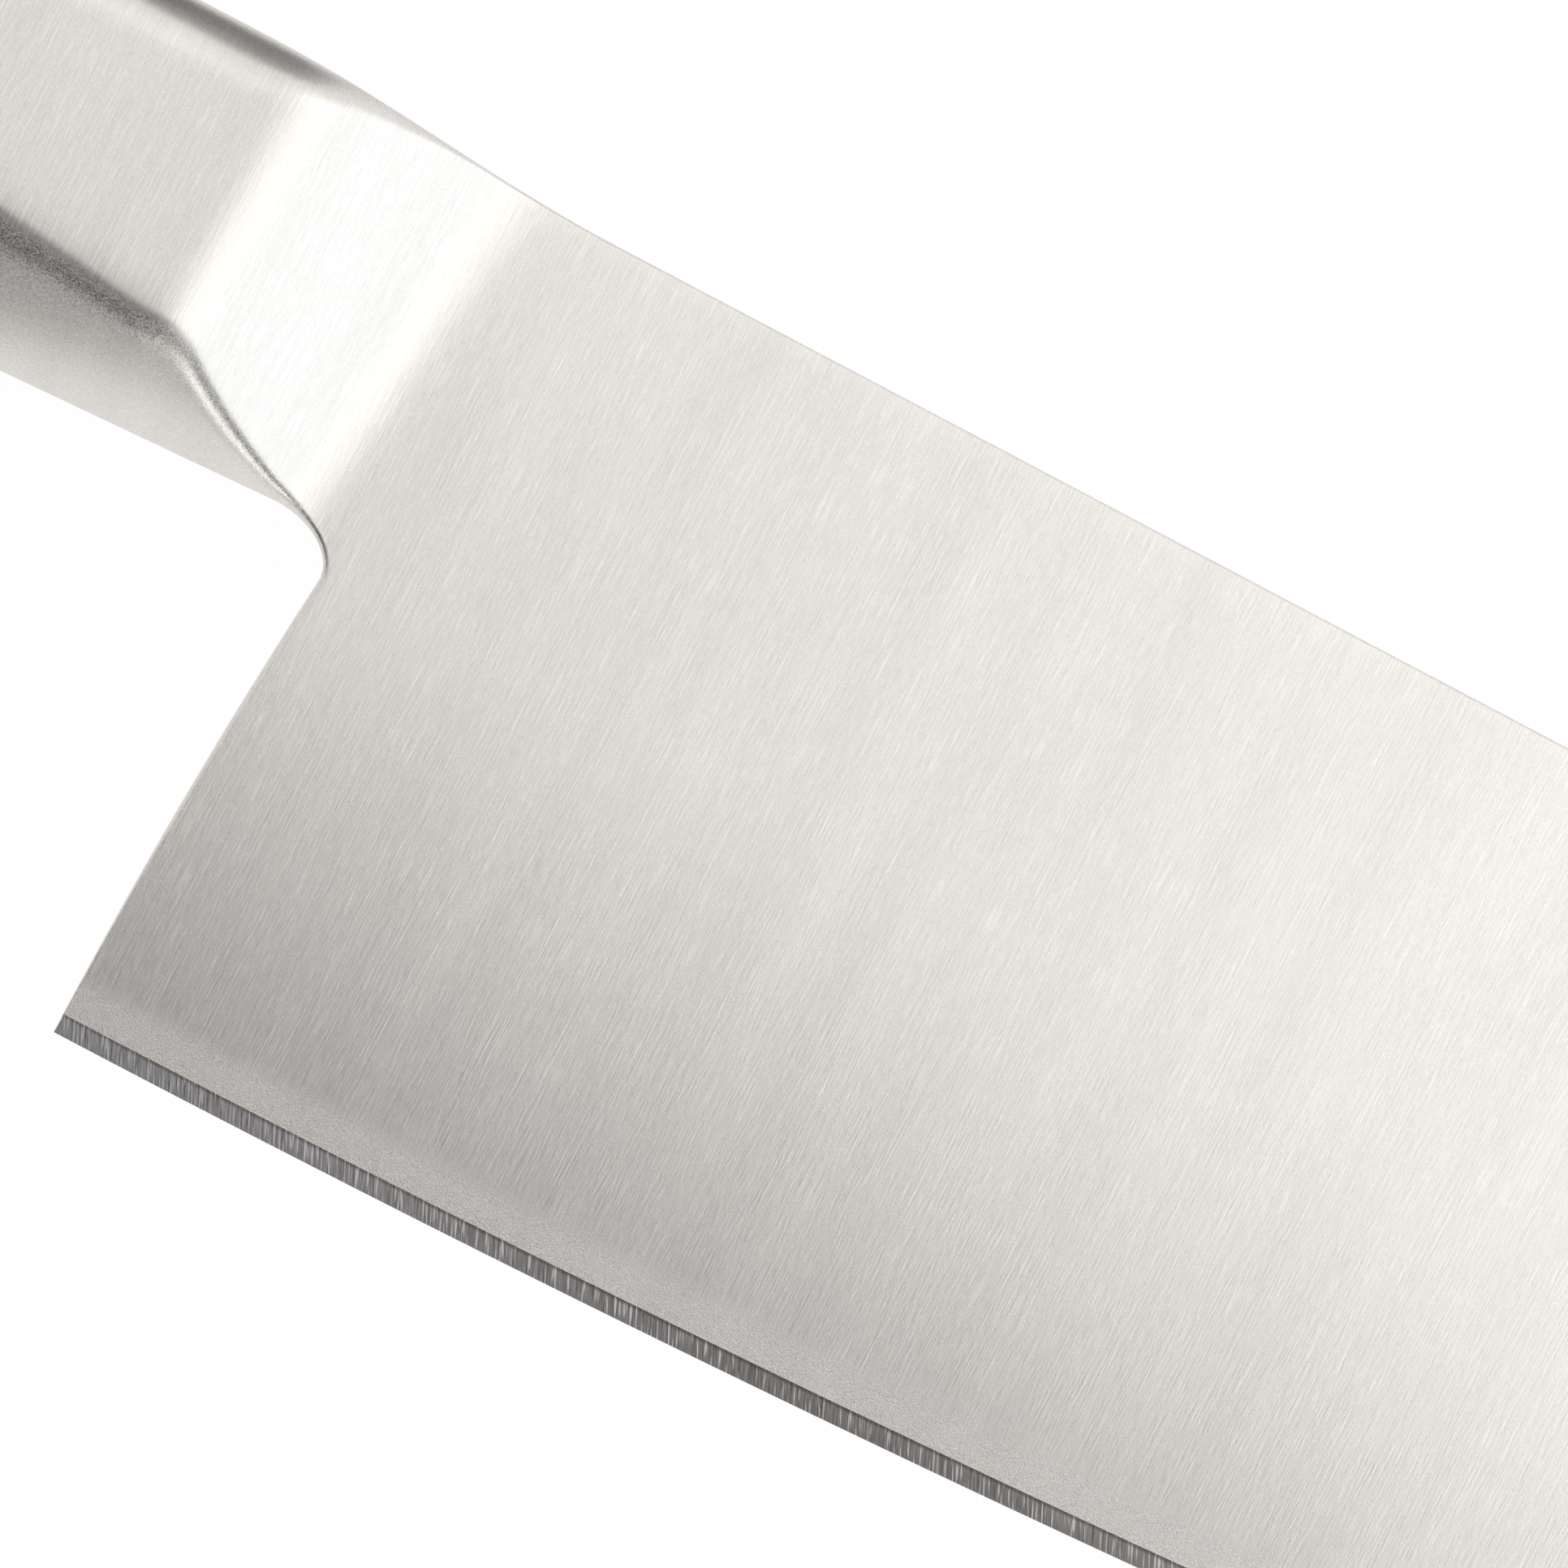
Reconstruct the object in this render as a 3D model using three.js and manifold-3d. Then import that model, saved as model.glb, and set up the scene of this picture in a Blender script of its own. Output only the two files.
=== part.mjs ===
// A stainless gyuto: one ground blade plate, a bolster cheek welded to each side of its neck,
// and a hollow handle of two pressed half shells that a butt cap closes.
// Millimetres. X runs from the heel towards the tip, Y from the edge up to the spine,
// and Z out of the right-hand face. The knife lies on its left flank.
import * as THREE from "three";
import { mergeVertices } from "three/addons/utils/BufferGeometryUtils.js";
import Module from "manifold-3d";

const wasm = await Module();
wasm.setup();

// Blade plate
const BLADE_LENGTH = 210; // heel to tip
const HEEL_HEIGHT = 46.5; // heel corner to spine
const SPINE_THICKNESS = 1.8; // at the heel and through the bolster
const TIP_THICKNESS = 0.8; // of the spine, at the tip
const FULL_THICKNESS_RUN = 45; // the spine thins from here to the tip
const FLAT_HEIGHT = 20.5; // parallel flats below the spine, at the heel
const SHOULDER_THICKNESS = 0.3; // behind the sharpened bevel
const BEVEL_WIDTH = 1; // of the sharpened bevel
const EDGE_LAND = 0.05; // thickness left at the very edge
const BELLY_RISE = 20; // how far the edge's long curve lifts the tip
const TIP_SWEEP = 9; // and how far its last sweep does
const TIP_SWEEP_POWER = 6;
const SPINE_STRAIGHT = 90; // heel to where the spine starts to fall
const SPINE_FALL_POWER = 2.2;
const CHOIL_LEAN = 1.15; // how far the choil leans towards the tip
const FILLET_RUN = 3.65; // of the choil's fillet, along the neck's underside
const FILLET_DROP = 2.4; // of the choil's fillet, down the choil

// Tang, inside the handle
const TANG_LENGTH = 60; // behind the heel
const TANG_HEIGHT = 11;

// Bolster and neck
const BOLSTER_LENGTH = 25.3; // heel to the joint with the handle
const NECK_SETBACK = 11.56; // heel to where the flank starts to bend down to the blade
const NECK_SLOPE = THREE.MathUtils.degToRad(37);
const NECK_BEND_RUN = 4; // convex, at the flank
const NECK_BEND_POWER = 1.6; // the bend's slope grows with this power of the distance
const NECK_SWEEP_RUN = 5.7; // concave, at the blade
const NECK_SWEEP_POWER = 2.5; // the sweep's slope fades with this power of the distance
const BEND_SKEW = 0.03; // how far the bend moves back, per mm below the spine
const TOE_SKEW = 0.17; // and how far the sweep's end does
const FEATHER_DROP = 0.04; // the slope passes this far under the blade's flat

// Handle section
const HANDLE_LENGTH = 125; // heel to butt
const GRIP_WIDTH = 16.6; // flank to flank
const NECK_HEIGHT = 19.55; // back to keel, at the heel
const FLANK_HEIGHT = 15.1; // back to the ridge below the flank, at the neck
const RIDGE_RISE = 2.1; // of the ridge, behind the neck
const RIDGE_RISE_START = 12; // behind the heel
const RIDGE_RISE_RUN = 30;
const BACK_EDGE_RUN = 2.7; // of the back's rounded edge, down the flank
const BACK_EDGE_DROP = 2.2; // of the back's rounded edge, across the back
const RIDGE_RADIUS = 2.4;
const BELLY_RADIUS = 24;
const KEEL_RADIUS = 2.5;
const LEAST_RADIUS = 0.3; // of an inner corner
const BACK_RISE = 1; // handle's back above the spine
const BACK_BLEND_REAR = 13; // the back falls to the spine from here behind the heel
const BACK_BLEND_FRONT = 6.5; // to here ahead of it
const BACK_DROP = 4; // of the back, at the butt
const BACK_DROP_START = 30; // behind the heel
const KEEL_FALL = 0.044; // of the keel, per mm towards the butt

// Handle shells, welds and cap
const WALL = 1.5;
const FIT = 0.1; // clearance between a spigot and the shells
const BOLSTER_SPIGOT = 8;
const JOINT_BEVEL = 0.7; // around the shells' front edge
const WELD_WIDTH = 2;
const WELD_DEPTH = 1;
const WELD_GAP = 0.05;
const CAP_LENGTH = 10;
const CAP_SPIGOT = 5;
const CAP_ROUND = 4;
const CAP_LEAN = 0.2; // the butt face leans back towards the keel, run per mm
const CAP_BEVEL = 0.3; // around the cap's front edge

// Fineness of curved stretches, in steps
const FILLET_STEPS = 6;
const GRIND_STEPS = 8;
const CHOIL_STEPS = 7;
const BEND_STEPS = 10;
const SWEEP_STEPS = 14;
const CAP_STEPS = 7;
const BLEND_STEPS = 10; // where the back falls to the spine
const BOLSTER_STEPS = 5; // from the joint to where the back starts to fall
const HANDLE_STEPS = 14;
const MIDDLE_STEPS = 6; // of the blade, before its spine falls
const TIP_STEPS = 18;
const MARGIN = 5; // how far a cutting solid reaches past what it cuts

const plateHalf = SPINE_THICKNESS / 2;
const gripHalf = GRIP_WIDTH / 2;
const weldHalf = WELD_WIDTH / 2;
const tipHeight = BELLY_RISE + TIP_SWEEP;
const backHeight = HEEL_HEIGHT + BACK_RISE;
const jointX = -BOLSTER_LENGTH;
const capX = CAP_LENGTH - HANDLE_LENGTH;
const spigotInset = WALL + FIT;
const neckCutHigh = backHeight + MARGIN;
const neckBase = plateHalf - FEATHER_DROP;
const bendDrop = (Math.tan(NECK_SLOPE) * NECK_BEND_RUN) / (NECK_BEND_POWER + 1);
const sweepDrop = (Math.tan(NECK_SLOPE) * NECK_SWEEP_RUN) / (NECK_SWEEP_POWER + 1);
const neckStraight = (gripHalf - neckBase - bendDrop - sweepDrop) / Math.tan(NECK_SLOPE);
const neckRun = NECK_BEND_RUN + neckStraight + NECK_SWEEP_RUN;
const neckToe = neckRun - NECK_SETBACK;
const neckFront = Math.max(neckToe, BACK_BLEND_FRONT) + MARGIN;

// Outlines seen from the side, as heights over the distance from the heel
function backLine(x) {
  const blend = THREE.MathUtils.smoothstep(x, -BACK_BLEND_REAR, BACK_BLEND_FRONT);
  const run = Math.max(0, -BACK_DROP_START - x) / (HANDLE_LENGTH - BACK_DROP_START);
  return HEEL_HEIGHT + BACK_RISE * (1 - blend) - BACK_DROP * run ** 2;
}

function spineLine(x) {
  const run = Math.max(0, x - SPINE_STRAIGHT) / (BLADE_LENGTH - SPINE_STRAIGHT);
  return backLine(x) - (HEEL_HEIGHT - tipHeight) * run ** SPINE_FALL_POWER;
}

function edgeLine(x) {
  const run = Math.max(0, x) / BLADE_LENGTH;
  return BELLY_RISE * run ** 2 + TIP_SWEEP * run ** TIP_SWEEP_POWER;
}

function keelLine(x) {
  return backHeight - NECK_HEIGHT + KEEL_FALL * x;
}

function ridgeLine(x) {
  const run = THREE.MathUtils.clamp((-RIDGE_RISE_START - x) / RIDGE_RISE_RUN, 0, 1);
  return backHeight - FLANK_HEIGHT + RIDGE_RISE * Math.sin((run * Math.PI) / 2);
}

// Stations from one distance to another, both included
function stations(from, to, count) {
  return Array.from({ length: count + 1 }, (_, i) => from + ((to - from) * i) / count);
}

// A closed solid through rings of points that run from the butt towards the tip,
// each anticlockwise as seen from the tip. An apex closes the last ring to a point.
function loft(rings, apex) {
  const count = rings[0].length;
  const points = rings.flat();
  const faces = [];
  for (let ring = 0; ring + 1 < rings.length; ring += 1) {
    for (let i = 0; i < count; i += 1) {
      const here = ring * count + i;
      const next = ring * count + ((i + 1) % count);
      faces.push(here, next, next + count, here, next + count, here + count);
    }
  }
  const flat = (ring) => ring.map((p) => new THREE.Vector2(-p.z, p.y));
  for (const [a, b, c] of THREE.ShapeUtils.triangulateShape(flat(rings[0]), [])) {
    faces.push(c, b, a);
  }
  const last = (rings.length - 1) * count;
  if (apex) {
    points.push(apex);
    for (let i = 0; i < count; i += 1) {
      faces.push(last + i, last + ((i + 1) % count), points.length - 1);
    }
  } else {
    for (const [a, b, c] of THREE.ShapeUtils.triangulateShape(flat(rings.at(-1)), [])) {
      faces.push(last + a, last + b, last + c);
    }
  }
  const geometry = new THREE.BufferGeometry().setFromPoints(points);
  geometry.setIndex(faces);
  return geometry;
}

function toSolid(geometry) {
  const bare = geometry.clone();
  bare.deleteAttribute("normal");
  bare.deleteAttribute("uv");
  const merged = mergeVertices(bare);
  const vertProperties = new Float32Array(merged.attributes.position.array);
  const triVerts = new Uint32Array(merged.index.array);
  return new wasm.Manifold(new wasm.Mesh({ numProp: 3, vertProperties, triVerts }));
}

function toGeometry(solid) {
  const mesh = solid.getMesh();
  const geometry = new THREE.BufferGeometry();
  geometry.setAttribute("position", new THREE.BufferAttribute(mesh.vertProperties, mesh.numProp));
  geometry.setIndex(new THREE.BufferAttribute(mesh.triVerts, 1));
  geometry.computeVertexNormals();
  return geometry;
}

function block(low, high) {
  const size = high.clone().sub(low);
  const centre = low.clone().add(high).multiplyScalar(0.5);
  const geometry = new THREE.BoxGeometry(size.x, size.y, size.z);
  return toSolid(geometry.translate(centre.x, centre.y, centre.z));
}

// The handle's belly at a station: a wide arc that passes the ridge and is tangent to the keel's round.
// An inset gives the parallel arc and round that far inside.
function bellyAt(x, inset) {
  const keel = new THREE.Vector2(0, keelLine(x) + KEEL_RADIUS);
  const toRidge = new THREE.Vector2(gripHalf, ridgeLine(x)).sub(keel);
  const reach = toRidge.length();
  const inner = BELLY_RADIUS - KEEL_RADIUS;
  const along = (inner ** 2 - BELLY_RADIUS ** 2 + reach ** 2) / (2 * reach);
  const across = Math.sqrt(inner ** 2 - along ** 2);
  const turn = Math.atan2(across, along);
  const middle = toRidge.setLength(inner).rotateAround(new THREE.Vector2(), turn).add(keel);
  const radius = BELLY_RADIUS - inset;
  const keelRadius = Math.max(KEEL_RADIUS - inset, LEAST_RADIUS);
  const keelY = middle.y - Math.sqrt((radius - keelRadius) ** 2 - middle.x ** 2);
  return { middle, radius, keelRadius, keelY };
}

// Half of the handle's section, from the back's middle round the right flank to the keel
function halfSection(x, inset) {
  const { middle, radius, keelRadius, keelY } = bellyAt(x, inset);
  const flank = gripHalf - inset;
  const back = backLine(x) - inset;
  const edgeRun = Math.max(BACK_EDGE_RUN - inset, LEAST_RADIUS);
  const edgeDrop = Math.max(BACK_EDGE_DROP - inset, LEAST_RADIUS);
  const ridgeRadius = Math.max(RIDGE_RADIUS - inset, LEAST_RADIUS);
  const ridgeX = flank - ridgeRadius;
  const ridgeY = middle.y - Math.sqrt((radius - ridgeRadius) ** 2 - (ridgeX - middle.x) ** 2);
  const ridgeTurn = Math.atan2(ridgeY - middle.y, ridgeX - middle.x);
  const keelTurn = Math.atan2(keelY - middle.y, -middle.x);

  const arc = (x0, y0, rx, ry, from, to) =>
    new THREE.EllipseCurve(x0, y0, rx, ry, from, to, true).getPoints(FILLET_STEPS);
  return [
    new THREE.Vector2(0, back),
    ...arc(flank - edgeDrop, back - edgeRun, edgeDrop, edgeRun, Math.PI / 2, 0),
    ...arc(ridgeX, ridgeY, ridgeRadius, ridgeRadius, 0, ridgeTurn),
    ...arc(middle.x, middle.y, radius, radius, ridgeTurn, keelTurn).slice(1),
    ...arc(0, keelY, keelRadius, keelRadius, keelTurn, -Math.PI / 2).slice(1),
  ];
}

// Height of the section's underside beside the plate's faces
function undersideAt(x, inset) {
  const { middle, radius, keelRadius, keelY } = bellyAt(x, inset);
  const roundHalf = (-middle.x * keelRadius) / (radius - keelRadius);
  if (plateHalf < roundHalf) {
    return keelY - Math.sqrt(keelRadius ** 2 - plateHalf ** 2);
  }
  return middle.y - Math.sqrt(radius ** 2 - (plateHalf - middle.x) ** 2);
}

function halfRing(x, inset) {
  return halfSection(x, inset).map((p) => new THREE.Vector3(x, p.y, p.x));
}

function fullRing(x, inset) {
  const right = halfRing(x, inset);
  const left = right.slice(1, -1).reverse();
  return [...right, ...left.map((p) => new THREE.Vector3(p.x, p.y, -p.z))];
}

// Section of the blade: parallel flats, a convex grind tangent to them, and the edge bevel
function bladeRing(x) {
  const spine = spineLine(x);
  const edge = edgeLine(x);
  const height = spine - edge;
  const thin = Math.max(0, x - FULL_THICKNESS_RUN) / (BLADE_LENGTH - FULL_THICKNESS_RUN);
  const half = THREE.MathUtils.lerp(SPINE_THICKNESS, TIP_THICKNESS, thin) / 2;
  const slope = (edgeLine(x + 1) - edge) / Math.hypot(1, edgeLine(x + 1) - edge);
  const bevel = Math.min(BEVEL_WIDTH / Math.sqrt(1 - slope ** 2), height / 3);
  const shoulder = Math.min(SHOULDER_THICKNESS / 2, half);
  const flatLow = spine - (FLAT_HEIGHT * height) / HEEL_HEIGHT;

  const right = [new THREE.Vector3(x, spine, half)];
  for (const u of stations(0, 1, GRIND_STEPS)) {
    const y = THREE.MathUtils.lerp(flatLow, edge + bevel, u);
    right.push(new THREE.Vector3(x, y, half - (half - shoulder) * u ** 2));
  }
  right.push(new THREE.Vector3(x, edge, EDGE_LAND / 2));
  const left = right.toReversed().map((p) => new THREE.Vector3(p.x, p.y, -p.z));
  return [...right, ...left];
}

// Stations along the handle, along the bolster's rear, and where the back falls to the spine
const handleXs = stations(capX, jointX - JOINT_BEVEL, HANDLE_STEPS);
const bolsterXs = stations(jointX, -BACK_BLEND_REAR, BOLSTER_STEPS).slice(0, -1);
const blendXs = stations(-BACK_BLEND_REAR, BACK_BLEND_FRONT, BLEND_STEPS);

function bladeBody() {
  const tipRun = BLADE_LENGTH - SPINE_STRAIGHT;
  const xs = [
    -TANG_LENGTH,
    jointX,
    ...blendXs,
    ...stations(FULL_THICKNESS_RUN / 2, SPINE_STRAIGHT, MIDDLE_STEPS),
    ...stations(0, 1, TIP_STEPS).slice(1, -1).map((u) => SPINE_STRAIGHT + tipRun * (1 - (1 - u) ** 2)),
  ];
  const apex = new THREE.Vector3(BLADE_LENGTH, tipHeight, 0);
  return toSolid(loft(xs.map(bladeRing), apex));
}

// The plate's outline where it is cut: choil, neck underside, and the stepped tang
function plateOutline() {
  const filletX = CHOIL_LEAN - FILLET_RUN;
  const filletY = undersideAt(filletX, 0) - FILLET_DROP;
  const spigotX = jointX - BOLSTER_SPIGOT;
  const tangMiddle = (backLine(spigotX) + undersideAt(spigotX, 0)) / 2;
  const far = BLADE_LENGTH + MARGIN;
  const high = backHeight + MARGIN;

  const shape = new THREE.Shape();
  shape.moveTo(far, -MARGIN);
  shape.lineTo(far, high);
  shape.lineTo(jointX, high);
  shape.lineTo(jointX, backLine(jointX) - spigotInset);
  shape.lineTo(spigotX, backLine(spigotX) - spigotInset);
  shape.lineTo(spigotX, tangMiddle + TANG_HEIGHT / 2);
  shape.lineTo(-TANG_LENGTH, tangMiddle + TANG_HEIGHT / 2);
  shape.lineTo(-TANG_LENGTH, tangMiddle - TANG_HEIGHT / 2);
  shape.lineTo(spigotX, tangMiddle - TANG_HEIGHT / 2);
  shape.lineTo(spigotX, undersideAt(spigotX, spigotInset));
  shape.lineTo(jointX, undersideAt(jointX, spigotInset));
  shape.lineTo(jointX, undersideAt(jointX, 0));
  shape.absellipse(filletX, filletY, FILLET_RUN, FILLET_DROP, Math.PI / 2, 0, true);
  shape.quadraticCurveTo(0, filletY / 2, 0, 0);
  shape.lineTo(0, -MARGIN);
  return shape;
}

function blade() {
  const options = { depth: SPINE_THICKNESS + MARGIN, bevelEnabled: false, curveSegments: CHOIL_STEPS };
  const outline = new THREE.ExtrudeGeometry(plateOutline(), options);
  outline.translate(0, 0, -options.depth / 2);
  return bladeBody().intersect(toSolid(outline));
}

// What is ground away above the neck: a convex bend, a straight slope and a concave sweep that
// runs out into the blade's flat. Both ends lie further back towards the choil, the sweep's end most.
function neckCut() {
  const far = neckFront + MARGIN + NECK_SETBACK;
  const bend = stations(0, 1, BEND_STEPS).map((u) => {
    const fall = bendDrop * u ** (NECK_BEND_POWER + 1);
    return new THREE.Vector2(NECK_BEND_RUN * u, gripHalf - fall);
  });
  const sweep = stations(1, 0, SWEEP_STEPS).map((u) => {
    const rise = sweepDrop * u ** (NECK_SWEEP_POWER + 1);
    return new THREE.Vector2(neckRun - NECK_SWEEP_RUN * u, neckBase + rise);
  });
  const shape = new THREE.Shape([
    new THREE.Vector2(0, gripHalf + MARGIN),
    ...bend,
    ...sweep,
    new THREE.Vector2(far, neckBase),
    new THREE.Vector2(far, gripHalf + MARGIN),
  ]);

  const depth = neckCutHigh - keelLine(0) + MARGIN;
  const geometry = new THREE.ExtrudeGeometry(shape, { depth, bevelEnabled: false });
  const points = geometry.attributes.position;
  for (let i = 0; i < points.count; i += 1) {
    const y = neckCutHigh - points.getZ(i);
    const bendX = -NECK_SETBACK - BEND_SKEW * (HEEL_HEIGHT - y);
    const toeX = neckToe - TOE_SKEW * (HEEL_HEIGHT - y);
    const run = Math.min(points.getX(i), neckRun);
    const beyond = points.getX(i) - run;
    const x = bendX + ((toeX - bendX) * run) / neckRun + beyond;
    points.setXYZ(i, x, y, points.getY(i));
  }
  return toSolid(geometry);
}

// One cheek of the bolster, seated on the plate's flat, with a spigot that enters the shells
function bolsterCheek() {
  const rings = [
    halfRing(jointX - BOLSTER_SPIGOT, spigotInset),
    halfRing(jointX, spigotInset),
    ...[...bolsterXs, ...blendXs, neckFront].map((x) => halfRing(x, 0)),
  ];
  const beyond = block(
    new THREE.Vector3(-HANDLE_LENGTH, 0, -MARGIN),
    new THREE.Vector3(BLADE_LENGTH, neckCutHigh, plateHalf),
  );
  return toSolid(loft(rings)).subtract(beyond).subtract(neckCut());
}

// V-shaped run of a weld, along the back (up = 1) or along the keel (up = -1),
// drawn in by a gap on its flanks.
function weldRun(up, gap) {
  const reach = 1 + MARGIN / WELD_DEPTH;
  const half = weldHalf * reach - gap;
  const ring = (x) => {
    const surface = up > 0 ? backLine(x) : keelLine(x);
    const root = surface - up * (WELD_DEPTH - gap);
    const out = root + up * WELD_DEPTH * reach;
    return [
      new THREE.Vector3(x, root, 0),
      new THREE.Vector3(x, out, -up * half),
      new THREE.Vector3(x, out, up * half),
    ];
  };
  return toSolid(loft([...handleXs, jointX].map(ring)));
}

function handleOutside(ringOf) {
  const rings = handleXs.map((x) => ringOf(x, 0));
  return toSolid(loft([...rings, ringOf(jointX, JOINT_BEVEL)]));
}

// One pressed half shell, split on the plate's middle plane, with its edges bevelled for the welds
function handleShell() {
  const inner = [capX - MARGIN, ...handleXs, jointX + MARGIN];
  const hollow = toSolid(loft(inner.map((x) => fullRing(x, WALL))));
  return handleOutside(halfRing).subtract(hollow).subtract(weldRun(1, 0)).subtract(weldRun(-1, 0));
}

function weldBead(up) {
  return handleOutside(fullRing).intersect(weldRun(up, WELD_GAP));
}

// The butt cap: a spigot inside the shells, and a rounded end that leans
function buttCap() {
  const leaned = (x, inset, share) => {
    const middle = (backLine(x) + keelLine(x)) / 2;
    const shift = CAP_LEAN * share;
    return fullRing(x, inset).map((p) => new THREE.Vector3(p.x + shift * (p.y - middle), p.y, p.z));
  };
  const rounded = stations(0, Math.PI / 2, CAP_STEPS).map((turn) => {
    const x = -HANDLE_LENGTH + CAP_ROUND * (1 - Math.cos(turn));
    return leaned(x, CAP_ROUND * (1 - Math.sin(turn)), 1);
  });
  const rings = [
    ...rounded,
    fullRing(capX - CAP_BEVEL, 0),
    fullRing(capX, CAP_BEVEL),
    fullRing(capX, spigotInset),
    fullRing(capX + CAP_SPIGOT, spigotInset),
  ];
  return toSolid(loft(rings));
}

const brushedSteel = new THREE.MeshStandardMaterial({ color: 0xd6d3ce, roughness: 0.32, metalness: 1 });
const satinSteel = new THREE.MeshStandardMaterial({ color: 0xc6c3be, roughness: 0.42, metalness: 1 });
const weldSteel = new THREE.MeshStandardMaterial({ color: 0xbfbcb7, roughness: 0.48, metalness: 1 });

function piece(name, geometry, material) {
  const mesh = new THREE.Mesh(geometry, material);
  mesh.name = name;
  return mesh;
}

// The left-hand piece is the right-hand one mirrored in the plate's middle plane
function pair(name, geometry, material) {
  const right = piece(`${name}_right`, geometry, material);
  const left = piece(`${name}_left`, geometry, material);
  left.scale.z = -1;
  return [right, left];
}

const knife = new THREE.Group();
knife.name = "gyuto";
knife.add(piece("blade", toGeometry(blade()), brushedSteel));
knife.add(...pair("bolster", toGeometry(bolsterCheek()), brushedSteel));
knife.add(...pair("handle_shell", toGeometry(handleShell()), satinSteel));
knife.add(piece("spine_weld", toGeometry(weldBead(1)), weldSteel));
knife.add(piece("keel_weld", toGeometry(weldBead(-1)), weldSteel));
knife.add(piece("butt_cap", toGeometry(buttCap()), satinSteel));

// The origin is the middle of what the knife covers, on the surface that it lies on
const box = new THREE.Box3().setFromObject(knife);
const middle = box.getCenter(new THREE.Vector3());
knife.position.set(-middle.x, -middle.y, -box.min.z);

export default knife;
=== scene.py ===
# %% [markdown]
# This lesson dresses an all-steel gyuto, a Japanese chef's knife, for a close studio picture.
# The solid model already holds every piece at its real size: a blade plate, two bolster cheeks welded
# to its neck, two half shells that make the hollow handle, their two weld beads and a butt cap.
# We load it as a fixed frame, then build finer skins over it, because polished steel shows every facet.

# %% Load the frame
import math
import bmesh
import bpy
import numpy as np
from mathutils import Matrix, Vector


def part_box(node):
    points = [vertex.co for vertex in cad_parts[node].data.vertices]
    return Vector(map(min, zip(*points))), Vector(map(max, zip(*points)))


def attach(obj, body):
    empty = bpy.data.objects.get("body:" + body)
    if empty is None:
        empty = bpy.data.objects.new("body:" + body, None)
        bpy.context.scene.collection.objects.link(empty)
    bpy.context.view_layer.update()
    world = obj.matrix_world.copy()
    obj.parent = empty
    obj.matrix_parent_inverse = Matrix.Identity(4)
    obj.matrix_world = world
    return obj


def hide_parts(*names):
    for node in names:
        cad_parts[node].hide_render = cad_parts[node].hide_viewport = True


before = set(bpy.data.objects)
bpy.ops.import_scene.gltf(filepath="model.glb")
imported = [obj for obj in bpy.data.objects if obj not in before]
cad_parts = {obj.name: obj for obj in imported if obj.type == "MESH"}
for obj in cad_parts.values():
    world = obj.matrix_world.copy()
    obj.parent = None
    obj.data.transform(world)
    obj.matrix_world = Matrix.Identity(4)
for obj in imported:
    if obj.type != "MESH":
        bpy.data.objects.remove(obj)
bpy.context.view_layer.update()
print("nodes:", sorted(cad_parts))

# %% [markdown]
# A knife maker measures from the heel, the sharp corner where the edge starts. So do we: s runs from the
# heel to the tip, t from the edge up to the spine, and z out of the right-hand face, all in millimetres.
# Writing shapes in those numbers keeps them readable. One helper turns them into metres in the frame.
# The heel itself is found from the blade's own box, so nothing has to be fitted by eye.

# %% Measure from the heel
MM = 0.001
BLADE_LENGTH = 210.0
HEEL_HEIGHT = 46.5

blade_low, blade_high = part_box("blade")
heel = np.array([
    blade_high.x - BLADE_LENGTH * MM,
    blade_low.y,
    (blade_low.z + blade_high.z) / 2,
])


def in_frame(points):
    return np.asarray(points, float) * MM + heel


print("heel corner, mm:", np.round(heel / MM, 2))

# %% [markdown]
# Seen from the side, the long lines of the knife are the back of the handle, which runs on as the spine,
# and the cutting edge. They could be drawn as curves and sampled. Here each is a formula in s instead,
# so a point can be asked for anywhere along it.

# %% Back, spine and edge from the side
HANDLE_LENGTH = 125.0
BACK_RISE = 1.0
BACK_BLEND = (-13.0, 6.5)
BACK_DROP = 4.0
BACK_DROP_START = 30.0
SPINE_STRAIGHT = 90.0
SPINE_FALL_POWER = 2.2
EDGE_RISE = 20.0
TIP_SWEEP = 9.0
TIP_SWEEP_POWER = 6


def smoothstep(x, low, high):
    u = np.clip((x - low) / (high - low), 0, 1)
    return u * u * (3 - 2 * u)


def back_line(s):
    run = np.maximum(0, -BACK_DROP_START - s) / (HANDLE_LENGTH - BACK_DROP_START)
    return HEEL_HEIGHT + BACK_RISE * (1 - smoothstep(s, *BACK_BLEND)) - BACK_DROP * run**2


def spine_line(s):
    run = np.maximum(0, s - SPINE_STRAIGHT) / (BLADE_LENGTH - SPINE_STRAIGHT)
    fall = HEEL_HEIGHT - EDGE_RISE - TIP_SWEEP
    return back_line(s) - fall * run**SPINE_FALL_POWER


def edge_line(s):
    run = np.maximum(0, s) / BLADE_LENGTH
    return EDGE_RISE * run**2 + TIP_SWEEP * run**TIP_SWEEP_POWER


print("spine height at the heel and at the tip:", spine_line(0.0), round(spine_line(BLADE_LENGTH), 2))

# %% [markdown]
# The short lines lie under the handle: the keel, the ridge where the flank turns over into the belly, and
# the choil, which is the end of the blade behind the heel. The ridge runs level at the neck and then rises
# along the handle. The choil meets the keel in a quarter of an ellipse, the fillet that a finger rests in.

# %% Keel, ridge and choil from the side
KEEL_AT_HEEL = 27.95
KEEL_FALL = 0.044
RIDGE_AT_NECK = 32.4
RIDGE_RISE = 2.1
RIDGE_RISE_START = -12.0
RIDGE_RISE_RUN = 30.0
CHOIL_LEAN = 1.15
FILLET_RUN = 3.65
FILLET_DROP = 2.4


def keel_line(s):
    return KEEL_AT_HEEL + KEEL_FALL * s


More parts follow.
